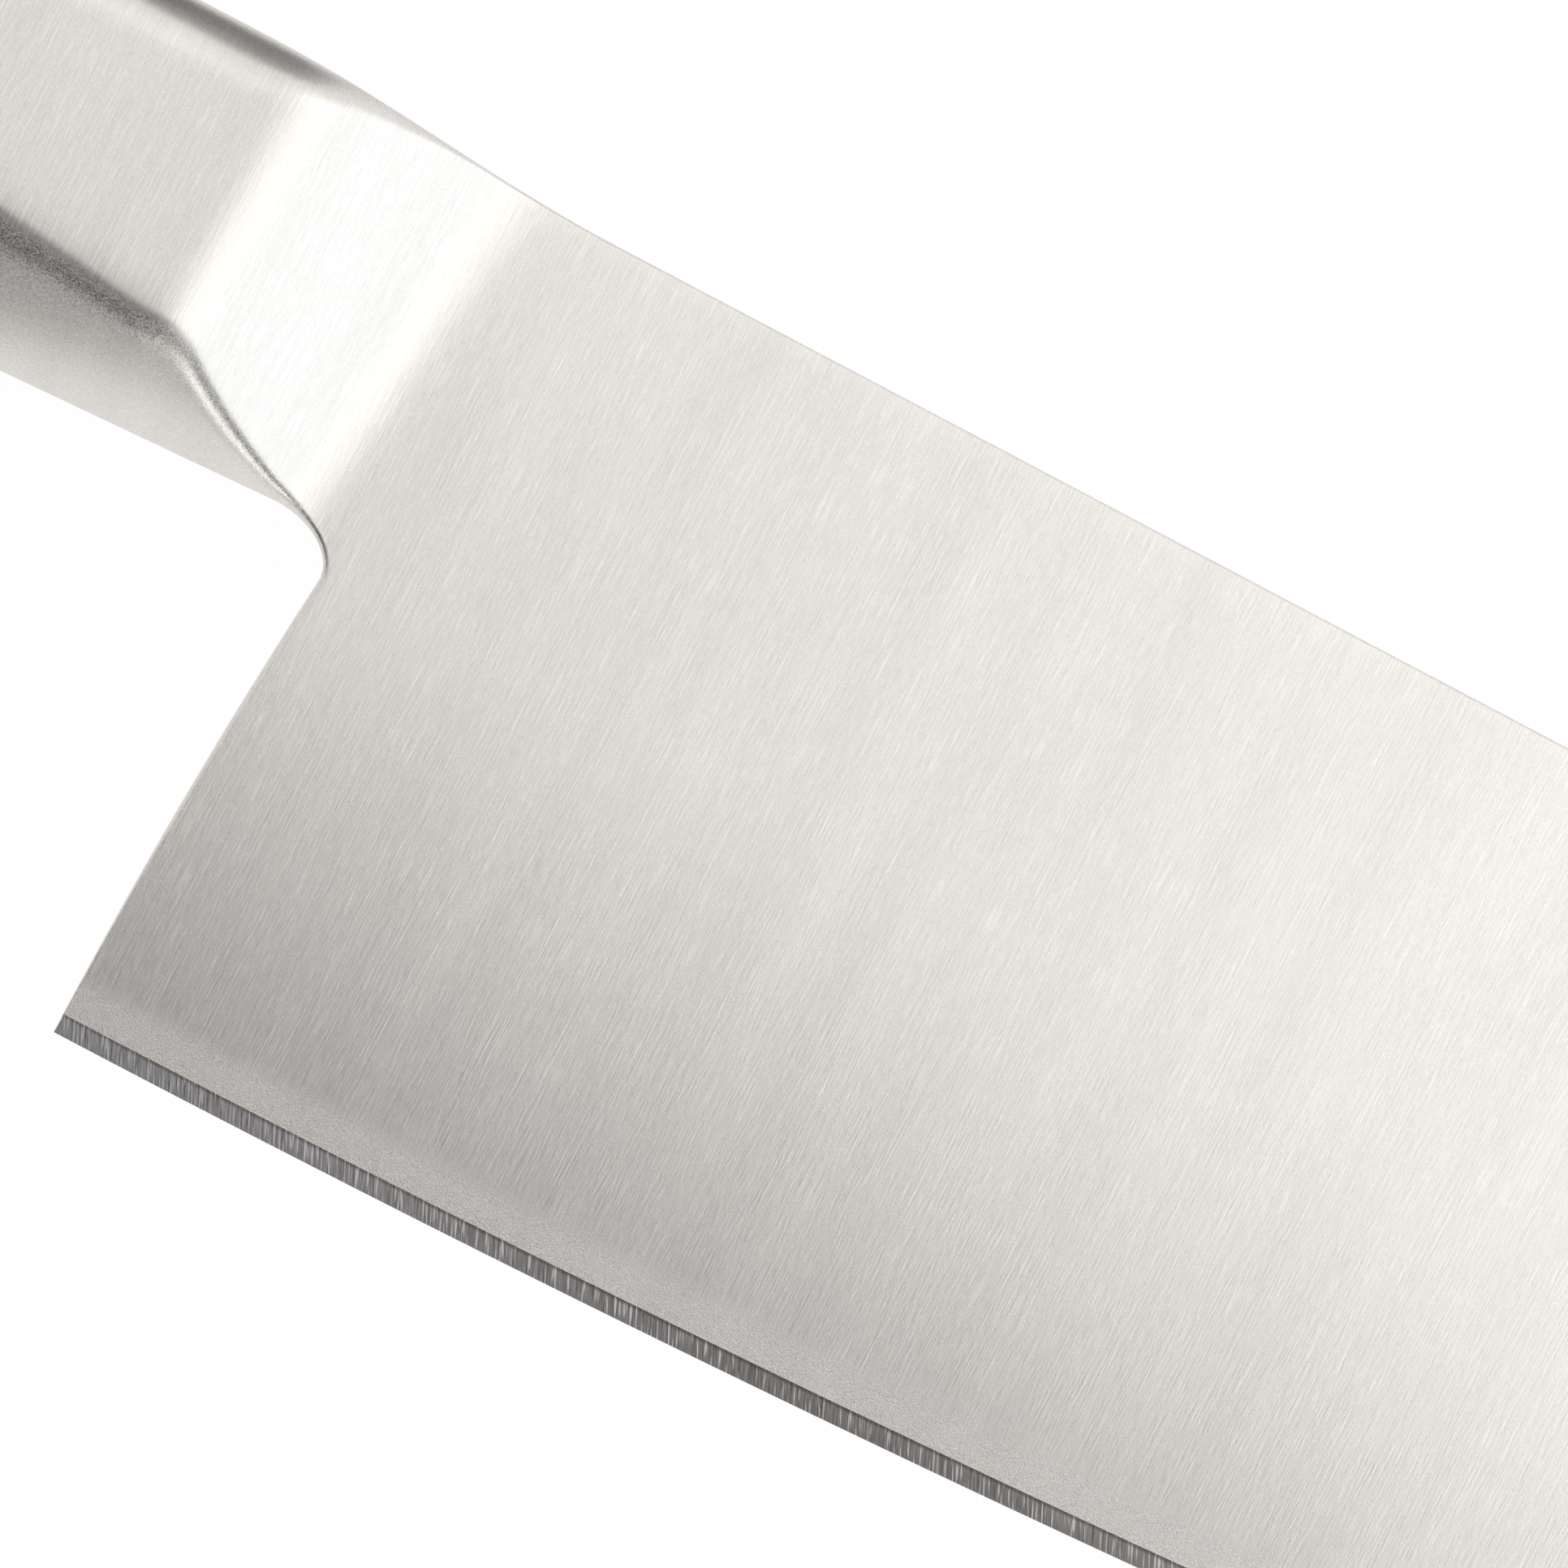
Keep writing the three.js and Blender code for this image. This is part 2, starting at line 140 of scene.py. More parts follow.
def ridge_line(s):
    run = np.clip((RIDGE_RISE_START - s) / RIDGE_RISE_RUN, 0, 1)
    return RIDGE_AT_NECK + RIDGE_RISE * np.sin(run * math.pi / 2)


FILLET_S = CHOIL_LEAN - FILLET_RUN
FILLET_T = keel_line(FILLET_S) - FILLET_DROP


def choil_line(t):
    return CHOIL_LEAN * (np.maximum(0, t) / FILLET_T) ** 2


print("middle of the choil's fillet:", round(FILLET_S, 2), round(FILLET_T, 2))

# %% [markdown]
# Now the thickness, part by part. Below its flat flanks the handle closes in a belly: a small round at the
# keel, then a wide arc up to the ridge. A drawn profile could be swept along the handle. A formula for the
# half thickness is better here, because the neck can then be cut out of it at any place.

# %% The handle's belly
GRIP_HALF = 8.3
KEEL_RADIUS = 2.5
BELLY_RADIUS = 24.0


def belly(s, d):
    """Half thickness at a distance d above the keel: the keel's round, then a wide arc up to the ridge."""
    s = np.minimum(s, 0)
    rise = ridge_line(s) - keel_line(s) - KEEL_RADIUS
    reach = np.hypot(GRIP_HALF, rise)
    inner = BELLY_RADIUS - KEEL_RADIUS
    along = (inner**2 - BELLY_RADIUS**2 + reach**2) / (2 * reach)
    across = np.sqrt(inner**2 - along**2)
    middle_z = (along * GRIP_HALF - across * rise) / reach
    middle_d = KEEL_RADIUS + (along * rise + across * GRIP_HALF) / reach
    round_top = KEEL_RADIUS - KEEL_RADIUS * (middle_d - KEEL_RADIUS) / inner
    below_round = KEEL_RADIUS - np.minimum(d, KEEL_RADIUS)
    below_middle = middle_d - np.minimum(d, middle_d)
    on_round = np.sqrt(np.maximum(0, KEEL_RADIUS**2 - below_round**2))
    on_arc = middle_z + np.sqrt(np.maximum(0, BELLY_RADIUS**2 - below_middle**2))
    return np.where(d < round_top, on_round, on_arc)


print("belly's half thickness 1, 3 and 5 mm above the keel:", np.round(belly(-20.0, np.array([1, 3, 5])), 2))

# %% [markdown]
# At the neck the flank comes down to the blade: a convex bend that starts softly, a straight slope and a
# concave sweep that fades out. Powers above 1 make the soft start and end. On the real knife the belt
# leans, so the bend and the toe of the sweep lie further back near the choil, and two skews do the same.

# %% The neck's bend, slope and sweep
PLATE_HALF = 0.9
NECK_SETBACK = 11.56
NECK_SLOPE = math.radians(37)
NECK_BEND_RUN = 4.0
NECK_BEND_POWER = 1.6
NECK_SWEEP_RUN = 5.7
NECK_SWEEP_POWER = 2.5
BEND_SKEW = 0.03
TOE_SKEW = 0.17


def neck(s, t):
    """How far the neck stands above the blade's flat: a bend, a slope and a sweep, one after another."""
    rise = GRIP_HALF - PLATE_HALF
    steepness = math.tan(NECK_SLOPE)
    bend_drop = steepness * NECK_BEND_RUN / (NECK_BEND_POWER + 1)
    sweep_drop = steepness * NECK_SWEEP_RUN / (NECK_SWEEP_POWER + 1)
    straight = (rise - bend_drop - sweep_drop) / steepness
    whole = NECK_BEND_RUN + straight + NECK_SWEEP_RUN
    below = HEEL_HEIGHT - t
    bend_s = -NECK_SETBACK - BEND_SKEW * below
    toe_s = whole - NECK_SETBACK - TOE_SKEW * below
    run = np.clip((s - bend_s) / (toe_s - bend_s), 0, 1) * whole
    on_bend = np.clip(run / NECK_BEND_RUN, 0, 1)
    on_slope = np.clip(run - NECK_BEND_RUN, 0, straight)
    to_toe = np.clip((whole - run) / NECK_SWEEP_RUN, 0, 1)
    fallen = bend_drop * on_bend ** (NECK_BEND_POWER + 1) + steepness * on_slope
    return rise - fallen - sweep_drop * (1 - to_toe ** (NECK_SWEEP_POWER + 1))


print("neck above the blade's flat:", [round(float(neck(s, 40.0)), 2) for s in (-15.0, -8.0, -3.0, 3.0)])

# %% [markdown]
# The blade keeps parallel flats under the spine and then thins towards the edge on a convex grind, here a
# parabola down to the shoulder of the bevel. Towards the tip the whole plate tapers, and the last few
# millimetres thin out with the blade's own height, so that both faces close in a point.

# %% The blade's flats and grind
TIP_HALF = 0.4
FULL_THICKNESS_RUN = 45.0
TIP_TAPER_HEIGHT = 4.0
FLAT_HEIGHT = 20.5
SHOULDER_HALF = 0.15
BEVEL_WIDTH = 1.0
TIP_BEVEL_PARTS = 3
LEAST_HEIGHT = 1e-6


def bevel_height(s):
    return np.minimum(BEVEL_WIDTH, (spine_line(s) - edge_line(s)) / TIP_BEVEL_PARTS)


def plate(s, t):
    """Half thickness of the blade, above its sharpened bevel."""
    height = np.maximum(spine_line(s) - edge_line(s), LEAST_HEIGHT)
    thinning = np.maximum(0, s - FULL_THICKNESS_RUN) / (BLADE_LENGTH - FULL_THICKNESS_RUN)
    half = PLATE_HALF + (TIP_HALF - PLATE_HALF) * thinning
    flat_low = spine_line(s) - FLAT_HEIGHT * height / HEEL_HEIGHT
    shoulder = edge_line(s) + bevel_height(s)
    u = np.clip((flat_low - t) / (flat_low - shoulder), 0, 1)
    ground = half - (half - np.minimum(SHOULDER_HALF, half)) * u**2
    return ground * np.minimum(1, height / TIP_TAPER_HEIGHT)


print("plate's half thickness 45, 20 and 2 mm up:", [round(float(plate(10.0, t)), 2) for t in (45, 20, 2)])

# %% [markdown]
# Where the neck and the flank cut the belly, the grinder leaves a soft ridge. A smooth minimum of the two
# surfaces makes that ridge in one line, and its reach sets how soft it is: keen at the choil, softest on
# the neck. Just above the ridge the belt rolls the flank away by a tenth of a millimetre, the crown.

# %% One surface with a soft ridge
CHOIL_RIDGE_REACH = 0.25
NECK_RIDGE_REACH = 1.2
FLANK_RIDGE_REACH = 0.8
NECK_RIDGE_SPAN = (-1.0, 5.0)
FLANK_RIDGE_SPAN = (8.0, 13.0)
CROWN_REACH = 3.0
CROWN_DEPTH = 0.1
CROWN_POWER = 3
CROWN_OVERRUN = 1.5
CROWN_SPAN = (8.0, 12.0)


def smooth_min(a, b, reach):
    near = np.maximum(reach - np.abs(a - b), 0) / reach
    return np.minimum(a, b) - near * near * reach / 4


def ridge_reach(s):
    at_neck = smoothstep(-s, *NECK_RIDGE_SPAN)
    at_flank = smoothstep(-s, *FLANK_RIDGE_SPAN)
    reach = CHOIL_RIDGE_REACH + (NECK_RIDGE_REACH - CHOIL_RIDGE_REACH) * at_neck
    return reach + (FLANK_RIDGE_REACH - NECK_RIDGE_REACH) * at_flank


def crown(s, t):
    """How far the belt has rolled the flank away just above the ridge."""
    near = np.clip((ridge_line(s) + CROWN_REACH - t) / CROWN_REACH, 0, CROWN_OVERRUN)
    return CROWN_DEPTH * near**CROWN_POWER * smoothstep(-s, *CROWN_SPAN)


def half_thickness(s, t, d):
    """Right-hand surface at (s, t), a distance d inside the outline's lower rim."""
    return smooth_min(belly(s, d), plate(s, t) + neck(s, t) - crown(s, t), ridge_reach(s))


print("half thickness of flank, neck and blade:",
      [round(float(half_thickness(s, 40.0, 12.0)), 2) for s in (-20.0, -6.0, 10.0)])

# %% [markdown]
# The plate and the cheeks are ground and polished as one, and no seam shows, so one skin stands for
# all three. A plain grid would pinch at the choil, where the underside of the neck turns into the end
# of the blade. Instead the skin is laid out in blocks, the way a sheet-metal worker would lay out
# panels. Every block starts at the lower rim with the same distances, so that neighbours share points.

# %% Distances from the rim
BACK_EDGE_RUN = 2.7
BACK_EDGE_SPAN = (-2.0, 14.0)
BACK_EDGE_POWER = 1.5
SPINE_EDGE_RUN = 0.15
SPINE_EDGE_SHARE = 0.2
RIM_ROUND_TURN = 36
RIM_ROUND_POINTS = 10
RIM_FINE_REACH = 8.0
RIM_FINE_POINTS = 43
RIM_FAR_STEPS = 18


def back_run(s):
    """How far down the side the back's rounded edge reaches."""
    on_handle = smoothstep(-s, *BACK_EDGE_SPAN) ** BACK_EDGE_POWER
    soft = SPINE_EDGE_RUN + (BACK_EDGE_RUN - SPINE_EDGE_RUN) * on_handle
    return np.minimum(soft, SPINE_EDGE_SHARE * (spine_line(s) - edge_line(s)))


def face_top(s):
    return spine_line(s) - back_run(s)


rim_turn = np.radians(np.linspace(0, RIM_ROUND_TURN, RIM_ROUND_POINTS))
rim_round = KEEL_RADIUS * (1 - np.cos(rim_turn))
rim_fine = np.linspace(rim_round[-1], RIM_FINE_REACH, RIM_FINE_POINTS)[1:]
rim_near = np.concatenate([rim_round, rim_fine])


def rim_depths(reach):
    """Distances from the lower rim: close together on its round, wider towards the far side."""
    far = np.linspace(RIM_FINE_REACH, reach, RIM_FAR_STEPS + 1)[1:]
    return np.concatenate([rim_near, far])


print("points from the rim to the back:", len(rim_depths(20.0)))

# %% [markdown]
# The first block is the bolster, in columns from the joint with the handle to the choil's fillet. The
# second is a fan of rays around the fillet. It turns the underside of the neck into the end of the blade,
# and its far side is the back and an upright line across the blade.

# %% Bolster and fan
JOINT_S = -25.3
FAN_REACH = 24.0
BOLSTER_COLUMNS = 98
FAN_TOP_RAYS = 49
FAN_SIDE_RAYS = 31


def bolster_block():
    rows = []
    for s in np.linspace(JOINT_S, FILLET_S, BOLSTER_COLUMNS):
        d = rim_depths(face_top(s) - keel_line(s))
        t = keel_line(s) + d
        rows.append(np.stack([np.full_like(d, s), t, half_thickness(s, t, d)], axis=1))
    return np.array(rows)


fan_top_s = np.linspace(FILLET_S, FAN_REACH, FAN_TOP_RAYS)
fan_side_t = np.linspace(face_top(FAN_REACH), FILLET_T, FAN_SIDE_RAYS)


def fan_block():
    far = [(s, face_top(s)) for s in fan_top_s] + [(FAN_REACH, t) for t in fan_side_t[1:]]
    rows = []
    for far_s, far_t in far:
        ray = np.array([far_s - FILLET_S, far_t - FILLET_T])
        length = np.hypot(*ray)
        rim = length / np.hypot(ray[0] / FILLET_RUN, ray[1] / FILLET_DROP)
        d = rim_depths(length - rim)
        s, t = np.outer(ray / length, rim + d) + [[FILLET_S], [FILLET_T]]
        rows.append(np.stack([s, t, half_thickness(s, t, d)], axis=1))
    return np.array(rows)


bolster, fan = bolster_block(), fan_block()
print("bolster and fan:", bolster.shape[:2], fan.shape[:2], "points")

# %% [markdown]
# The third block is the heel, below the fan and in front of the choil. Its columns lean with the choil's
# curve and straighten up towards the blade. The last block is the rest of the blade, with stations that
# crowd together towards the tip, where the outline turns fastest.

# %% Heel and blade
HEEL_COARSE_SHARE = 0.8
HEEL_COARSE_ROWS = 21
HEEL_FINE_ROWS = 15
BLADE_STATIONS = 110
TIP_CROWDING = 1.4
heel_rows = np.concatenate([
    np.linspace(0, HEEL_COARSE_SHARE, HEEL_COARSE_ROWS),
    np.linspace(HEEL_COARSE_SHARE, 1, HEEL_FINE_ROWS)[1:],
])


def heel_block():
    across = rim_depths(FAN_REACH - CHOIL_LEAN)
    rows = []
    for d in across:
        top_s = CHOIL_LEAN + d
        lean = 1 - d / across[-1]
        shoulder = edge_line(top_s) + bevel_height(top_s)
        t = FILLET_T + (shoulder - FILLET_T) * heel_rows
        s = top_s - (CHOIL_LEAN - choil_line(t)) * lean
        rows.append(np.stack([s, t, half_thickness(s, t, s - choil_line(t))], axis=1))
    return np.array(rows)[:, ::-1]


def tip_stations(count):
    """Stations from the fan to the tip, closer together towards the tip."""
    u = np.linspace(0, 1, count + 1)
    return FAN_REACH + (BLADE_LENGTH - FAN_REACH) * (1 - (1 - u) ** TIP_CROWDING)


def blade_block():
    low = edge_line(FAN_REACH) + bevel_height(FAN_REACH)
    heel_t = FILLET_T + (low - FILLET_T) * heel_rows[::-1]
    border_t = np.concatenate([heel_t, fan_side_t[::-1][1:]])
    share = (border_t - low) / (face_top(FAN_REACH) - low)
    rows = []
    for s in tip_stations(BLADE_STATIONS):
        shoulder = edge_line(s) + bevel_height(s)
        t = shoulder + (face_top(s) - shoulder) * share
        rows.append(np.stack([np.full_like(t, s), t, plate(s, t)], axis=1))
    return np.array(rows)


heel_end, blade = heel_block(), blade_block()
print("heel and blade:", heel_end.shape[:2], blade.shape[:2], "points")

# %% [markdown]
# Two strips close the skin. One rolls over the back of the handle and the spine: a rounded edge, then
# a flat top down to the middle plane. The other is the sharpened bevel along the cutting edge.
# Both start from points the blocks already have.

# %% Close the skin along the back and the edge
BACK_EDGE_DROP = 2.2
ROLL_MOST_SHARE = 0.7
ROLL_STEPS = 14
TOP_STEPS = 4
EDGE_HALF = 0.025
BEVEL_STEPS = 4


def back_strip(face):
    """face is the row of points just below the back's rounded edge."""
    rows = []
    for s, t, z in face:
        run = spine_line(s) - t
        drop = min(run * BACK_EDGE_DROP / BACK_EDGE_RUN, ROLL_MOST_SHARE * z)
        turn = np.linspace(0, math.pi / 2, ROLL_STEPS + 1)
        roll_t = t + run * np.sin(turn)
        roll_z = z - drop * (1 - np.cos(turn))
        top_z = np.linspace(roll_z[-1], 0, TOP_STEPS + 1)[1:]
        all_t = np.concatenate([roll_t, np.full(TOP_STEPS, roll_t[-1])])
        all_z = np.concatenate([roll_z, top_z])
        rows.append(np.stack([np.full_like(all_t, s), all_t, all_z], axis=1))
    return np.array(rows)


def bevel_strip(shoulder):
    """shoulder is the row of points where the grind ends and the bevel starts."""
    rows = []
    for s, t, z in shoulder:
        u = np.linspace(0, 1, BEVEL_STEPS + 1)
        ground_z = z + (np.minimum(EDGE_HALF, z) - z) * u
        down_t = t + (edge_line(s) - t) * u
        all_z = np.append(ground_z, 0.0)
        all_t = np.append(down_t, edge_line(s))
        rows.append(np.stack([np.full_like(all_t, s), all_t, all_z], axis=1))
    return np.array(rows)[:, ::-1]


fan_top = fan[: len(fan_top_s)]
back_face = np.concatenate([bolster[:, -1], fan_top[1:, -1], blade[1:, -1]])
shoulder_face = np.concatenate([heel_end[:, 0], blade[1:, 0]])
back = back_strip(back_face)
bevel = bevel_strip(shoulder_face)
print("back strip and bevel:", back.shape[:2], bevel.shape[:2])

# %% [markdown]
# A block becomes faces by joining each point to its neighbours. The left half is the right half
# mirrored, and welding by distance joins both along the middle plane, so the skin comes out as one
# closed body. The bevel's faces get a second material, and the line above it stays a crisp crease.

# %% Weld the blocks into one closed skin
WELD_DISTANCE = 1e-7
LAND_CREASE = math.radians(60)


def add_block(mesh, points, mirrored, material=0):
    placed = np.array(points, float)
    if mirrored:
        placed[..., 2] *= -1
    columns, rows = placed.shape[:2]
    verts = [[mesh.verts.new(p) for p in column] for column in in_frame(placed)]
    for i in range(columns - 1):
        for j in range(rows - 1):
            corners = [verts[i][j], verts[i + 1][j], verts[i + 1][j + 1], verts[i][j + 1]]
            made = mesh.faces.new(corners[::-1] if mirrored else corners)
            made.material_index = material
            made.smooth = True


def weld(mesh):
    bmesh.ops.remove_doubles(mesh, verts=mesh.verts, dist=WELD_DISTANCE)
    bmesh.ops.dissolve_degenerate(mesh, edges=mesh.edges, dist=WELD_DISTANCE / 4)
    rims = [e for e in mesh.edges if e.is_boundary]
    if rims:
        for face in bmesh.ops.holes_fill(mesh, edges=rims)["faces"]:
            for edge in face.edges:
                edge.smooth = False
    bmesh.ops.recalc_face_normals(mesh, faces=mesh.faces)
    for edge in mesh.edges:
        if len({f.material_index for f in edge.link_faces}) > 1:
            edge.smooth = False
        if edge.is_manifold and edge.calc_face_angle() > LAND_CREASE:
            edge.smooth = False


def to_object(mesh, name):
    data = bpy.data.meshes.new(name)
    open_edges = sum(1 for e in mesh.edges if not e.is_manifold)
    mesh.to_mesh(data)
    mesh.free()
    made = bpy.data.objects.new(name, data)
    bpy.context.scene.collection.objects.link(made)
    print(name, "has", len(data.polygons), "faces and", open_edges, "open edges")
    return made


skin = bmesh.new()
for mirrored in (False, True):
    for block in (bolster, fan, heel_end, blade, back):
        add_block(skin, block, mirrored)
    add_block(skin, bevel, mirrored, material=1)
weld(skin)
blade_skin = to_object(skin, "blade_and_bolster")

# %% [markdown]
# A finish needs to know where it lies. Masks travel with the mesh, one value at each point, and normals
# tell the turned surfaces from the flat ones. The mask blast is 1 on the belly, the back and the choil,
# which are blasted matt on the real knife. The mask grit is 1 along the ridge, where the blast bit deepest.

# %% Masks from the normals
BLAST_UP = (0.35, 0.6)
BLAST_DOWN = (0.12, 0.4)
BLAST_REAR = (0.35, 0.6)
GRIT_START = (0.08, 0.25)
GRIT_END = (0.55, 0.85)


def vertex_table(data):
    """Points in heel millimetres, and normals, of a mesh."""
    points = np.empty(len(data.vertices) * 3)
    data.vertices.foreach_get("co", points)
    normals = np.empty(len(data.vertices) * 3)
    data.vertex_normals.foreach_get("vector", normals)
    return (points.reshape(-1, 3) - heel) / MM, normals.reshape(-1, 3)


def turned_away(normals):
    """1 where a surface faces the back, the belly or the butt, 0 where it faces the side."""
    up = smoothstep(normals[:, 1], *BLAST_UP)
    down = smoothstep(-normals[:, 1], *BLAST_DOWN)
    rear = smoothstep(-normals[:, 0], *BLAST_REAR)
    return np.maximum(np.maximum(up, down), rear)


def along_ridge(normals):
    """1 where the flank turns over into the belly, 0 on the flank and lower on the belly."""
    start = smoothstep(-normals[:, 1], *GRIT_START)
    return start * (1 - smoothstep(-normals[:, 1], *GRIT_END))


def set_mask(data, name, values):
    layer = data.attributes.new(name, "FLOAT", "POINT")
    layer.data.foreach_set("value", np.asarray(values, np.float32))


points, normals = vertex_table(blade_skin.data)
set_mask(blade_skin.data, "blast", turned_away(normals))
set_mask(blade_skin.data, "grit", along_ridge(normals))
print("blasted points:", int((turned_away(normals) > 0.5).sum()), "of", len(points))

# %% [markdown]
# A third mask is the haze along the edge, where the last stone has taken the strokes away. The strokes
# themselves need a direction: a UV map called lay, in millimetres, whose second axis follows the belt.
# On the bevel the lay follows the edge instead and slants, as the sharpening stone does.

# %% Haze and lay of the blade
HAZE_HEIGHT = 3.6
HAZE_FADE = 1.6
HAZE_START_S = -0.5
BEVEL_SLANT = 0.45
EDGE_SAMPLES = 400


def set_lay(data, lay_of_vertex, lay_of_bevel=None):
    corner = np.empty(len(data.loops), int)
    data.loops.foreach_get("vertex_index", corner)
    lay = lay_of_vertex[corner]
    if lay_of_bevel is not None:
        material = np.empty(len(data.polygons), int)
        data.polygons.foreach_get("material_index", material)
        size = np.empty(len(data.polygons), int)
        data.polygons.foreach_get("loop_total", size)
        on_bevel = np.repeat(material, size) == 1
        lay[on_bevel] = lay_of_bevel[corner][on_bevel]
    data.uv_layers.new(name="lay").data.foreach_set("uv", lay.astype(np.float32).ravel())


edge_s = np.linspace(0, BLADE_LENGTH, EDGE_SAMPLES)
edge_steps = np.hypot(np.diff(edge_s), np.diff(edge_line(edge_s)))
edge_run = np.concatenate([[0], np.cumsum(edge_steps)])
above_edge = points[:, 1] - edge_line(points[:, 0])
low_down = 1 - smoothstep(above_edge, HAZE_HEIGHT - HAZE_FADE, HAZE_HEIGHT)
haze = low_down * (points[:, 0] > HAZE_START_S)
set_mask(blade_skin.data, "haze", haze)
along_edge = np.interp(points[:, 0], edge_s, edge_run)
bevel_lay = np.stack([along_edge + BEVEL_SLANT * above_edge, above_edge], axis=1)
set_lay(blade_skin.data, points[:, :2], bevel_lay)
print("hazed points:", int((haze > 0.5).sum()), "of", len(points))

# %% [markdown]
# The handle carries the flank's section on to the butt. Its half section is asked from the same belly and
# crown as the bolster's, so both meet without a step. Drawing the section in by a wall's thickness gives
# its inside, and by a bevel's depth the edge that meets the bolster.

# %% Section of the handle


def handle_half(s):
    """Half section (t, z) of the handle, from the keel's middle round the flank to the back's middle."""
    d = rim_depths(spine_line(s) - BACK_EDGE_RUN - keel_line(s))
    z = smooth_min(belly(s, d), GRIP_HALF - crown(s, keel_line(s) + d), FLANK_RIDGE_REACH)
    top = back_strip([(s, keel_line(s) + d[-1], z[-1])])[0, 1:, 1:]
    return np.concatenate([np.stack([keel_line(s) + d, z], axis=1), top])


def drawn_in(section, depth):
    """The same section, smaller by depth on every side."""
    middle = (section[:, 0].min() + section[:, 0].max()) / 2
    half = (section[:, 0].max() - section[:, 0].min()) / 2
    return np.stack([
        middle + (section[:, 0] - middle) * (1 - depth / half),
        section[:, 1] * (1 - depth / GRIP_HALF),
    ], axis=1)


print("half section at the joint:", len(handle_half(JOINT_S)), "points")

# %% [markdown]
# The handle is two half shells pressed from sheet and welded along the back and the keel, with a cap
# over the open end. Each shell is a closed body with a real wall. Its front edge is bevelled where it
# meets the bolster, and its long edges are chamfered into a V that the weld bead fills.

# %% The two handle shells
WALL = 1.5
JOINT_BEVEL = 0.7
CAP_S = -115.0
WELD_DEPTH = 1.0
WELD_HALF = 1.0
WELD_RIM_INDEX = 6
SHELL_STATIONS = 46
CREASE = math.radians(32)


def shell_loop(s, depth):
    """One closed loop of a shell's wall, in (s, t, z)."""
    section = handle_half(s)
    outer = drawn_in(section, depth)[WELD_RIM_INDEX:-1]
    back_rim = [outer[-1, 0], WELD_HALF]
    inner = drawn_in(section, WALL)[::-1]
    keel_root = [section[0, 0] + WELD_DEPTH, 0]
    back_root = [section[-1, 0] - WELD_DEPTH, 0]
    loop = np.concatenate([[keel_root], outer, [back_rim], [back_root], inner])
    return np.column_stack([np.full(len(loop), s), loop])


def add_loft(mesh, loops, mirrored=False):
    """A closed body through loops that all have as many points."""
    placed = np.array(loops, float)
    if mirrored:
        placed[..., 2] *= -1
    verts = [[mesh.verts.new(p) for p in loop] for loop in in_frame(placed)]
    count = len(verts[0])
    for here, ahead in zip(verts, verts[1:]):
        for j in range(count):
            following = (j + 1) % count
            made = mesh.faces.new([here[j], ahead[j], ahead[following], here[following]])
            made.smooth = True
    for end in (verts[0], verts[-1]):
        mesh.faces.new(end)
    bmesh.ops.recalc_face_normals(mesh, faces=mesh.faces)


def sharpen(mesh, angle):
    for edge in mesh.edges:
        if edge.is_manifold and edge.calc_face_angle() > angle:
            edge.smooth = False


shell_s = np.linspace(CAP_S, JOINT_S - JOINT_BEVEL, SHELL_STATIONS)
shell_loops = [shell_loop(s, 0) for s in shell_s] + [shell_loop(JOINT_S, JOINT_BEVEL)]
shells = {}
for side, mirrored in (("right", False), ("left", True)):
    wall = bmesh.new()
    add_loft(wall, shell_loops, mirrored)
    sharpen(wall, CREASE)
    shells[side] = to_object(wall, f"handle_shell_{side}_skin")

# %% [markdown]
# A weld bead is a thin run of steel that has filled the V between the shells and been dressed back.
# It still stands a hair above the sheet, and that hair is what catches the light along the back.
# Each bead is lofted through the same V, with a low arch as its outer side.

# %% The weld beads
WELD_CROWN = 0.05
WELD_ROOT_GAP = 0.05
WELD_END_GAP = 0.05
WELD_STATIONS = 60
BACK_BEAD_POINTS = 11


def bead_loop(s, up):
    """Section of a bead at s, on the back where up is 1 and on the keel where it is -1."""
    section = handle_half(s)
    if up > 0:
        z = np.linspace(-WELD_HALF, WELD_HALF, BACK_BEAD_POINTS)
        t = np.full_like(z, section[-1, 0])
    else:
        right = section[: WELD_RIM_INDEX + 1]
        z = np.concatenate([-right[:0:-1, 1], right[:, 1]])
        t = np.concatenate([right[:0:-1, 0], right[:, 0]])
    arch = WELD_CROWN * (1 - (z / np.abs(z).max()) ** 2)
    root = section[-1 if up > 0 else 0, 0] - up * (WELD_DEPTH - WELD_ROOT_GAP)
    loop = np.column_stack([np.append(t + up * arch, root), np.append(z, 0)])
    return np.column_stack([np.full(len(loop), s), loop])


weld_s = np.linspace(CAP_S + WELD_END_GAP, JOINT_S - JOINT_BEVEL, WELD_STATIONS)
beads = {}
for name, up in (("spine_weld", 1), ("keel_weld", -1)):
    bead = bmesh.new()
    add_loft(bead, [bead_loop(s, up) for s in weld_s])
    sharpen(bead, CREASE)
    beads[name] = to_object(bead, f"{name}_skin")

# %% [markdown]
# The butt cap is a short turned plug. Its end face leans with the hand and rolls into the sides on a
# generous radius, and a fine bevel at its front leaves a shadow line against the shells. It is lofted
# from the end face forwards: the roll, the side, the bevel, and the spigot inside the shells.

# %% The butt cap
CAP_ROUND = 4.0
CAP_LEAN = 0.2
CAP_BEVEL = 0.3
CAP_SPIGOT = 5.0
CAP_SPIGOT_INSET = 1.6
CAP_ROLL_STEPS = 16
CAP_SIDE_STEPS = 5


def cap_loop(s, depth, lean):
    half = drawn_in(handle_half(s), depth)
    loop = np.concatenate([half, half[-2:0:-1] * [1, -1]])
    middle = (back_line(s) + keel_line(s)) / 2
    return np.column_stack([s + CAP_LEAN * lean * (loop[:, 0] - middle), loop])


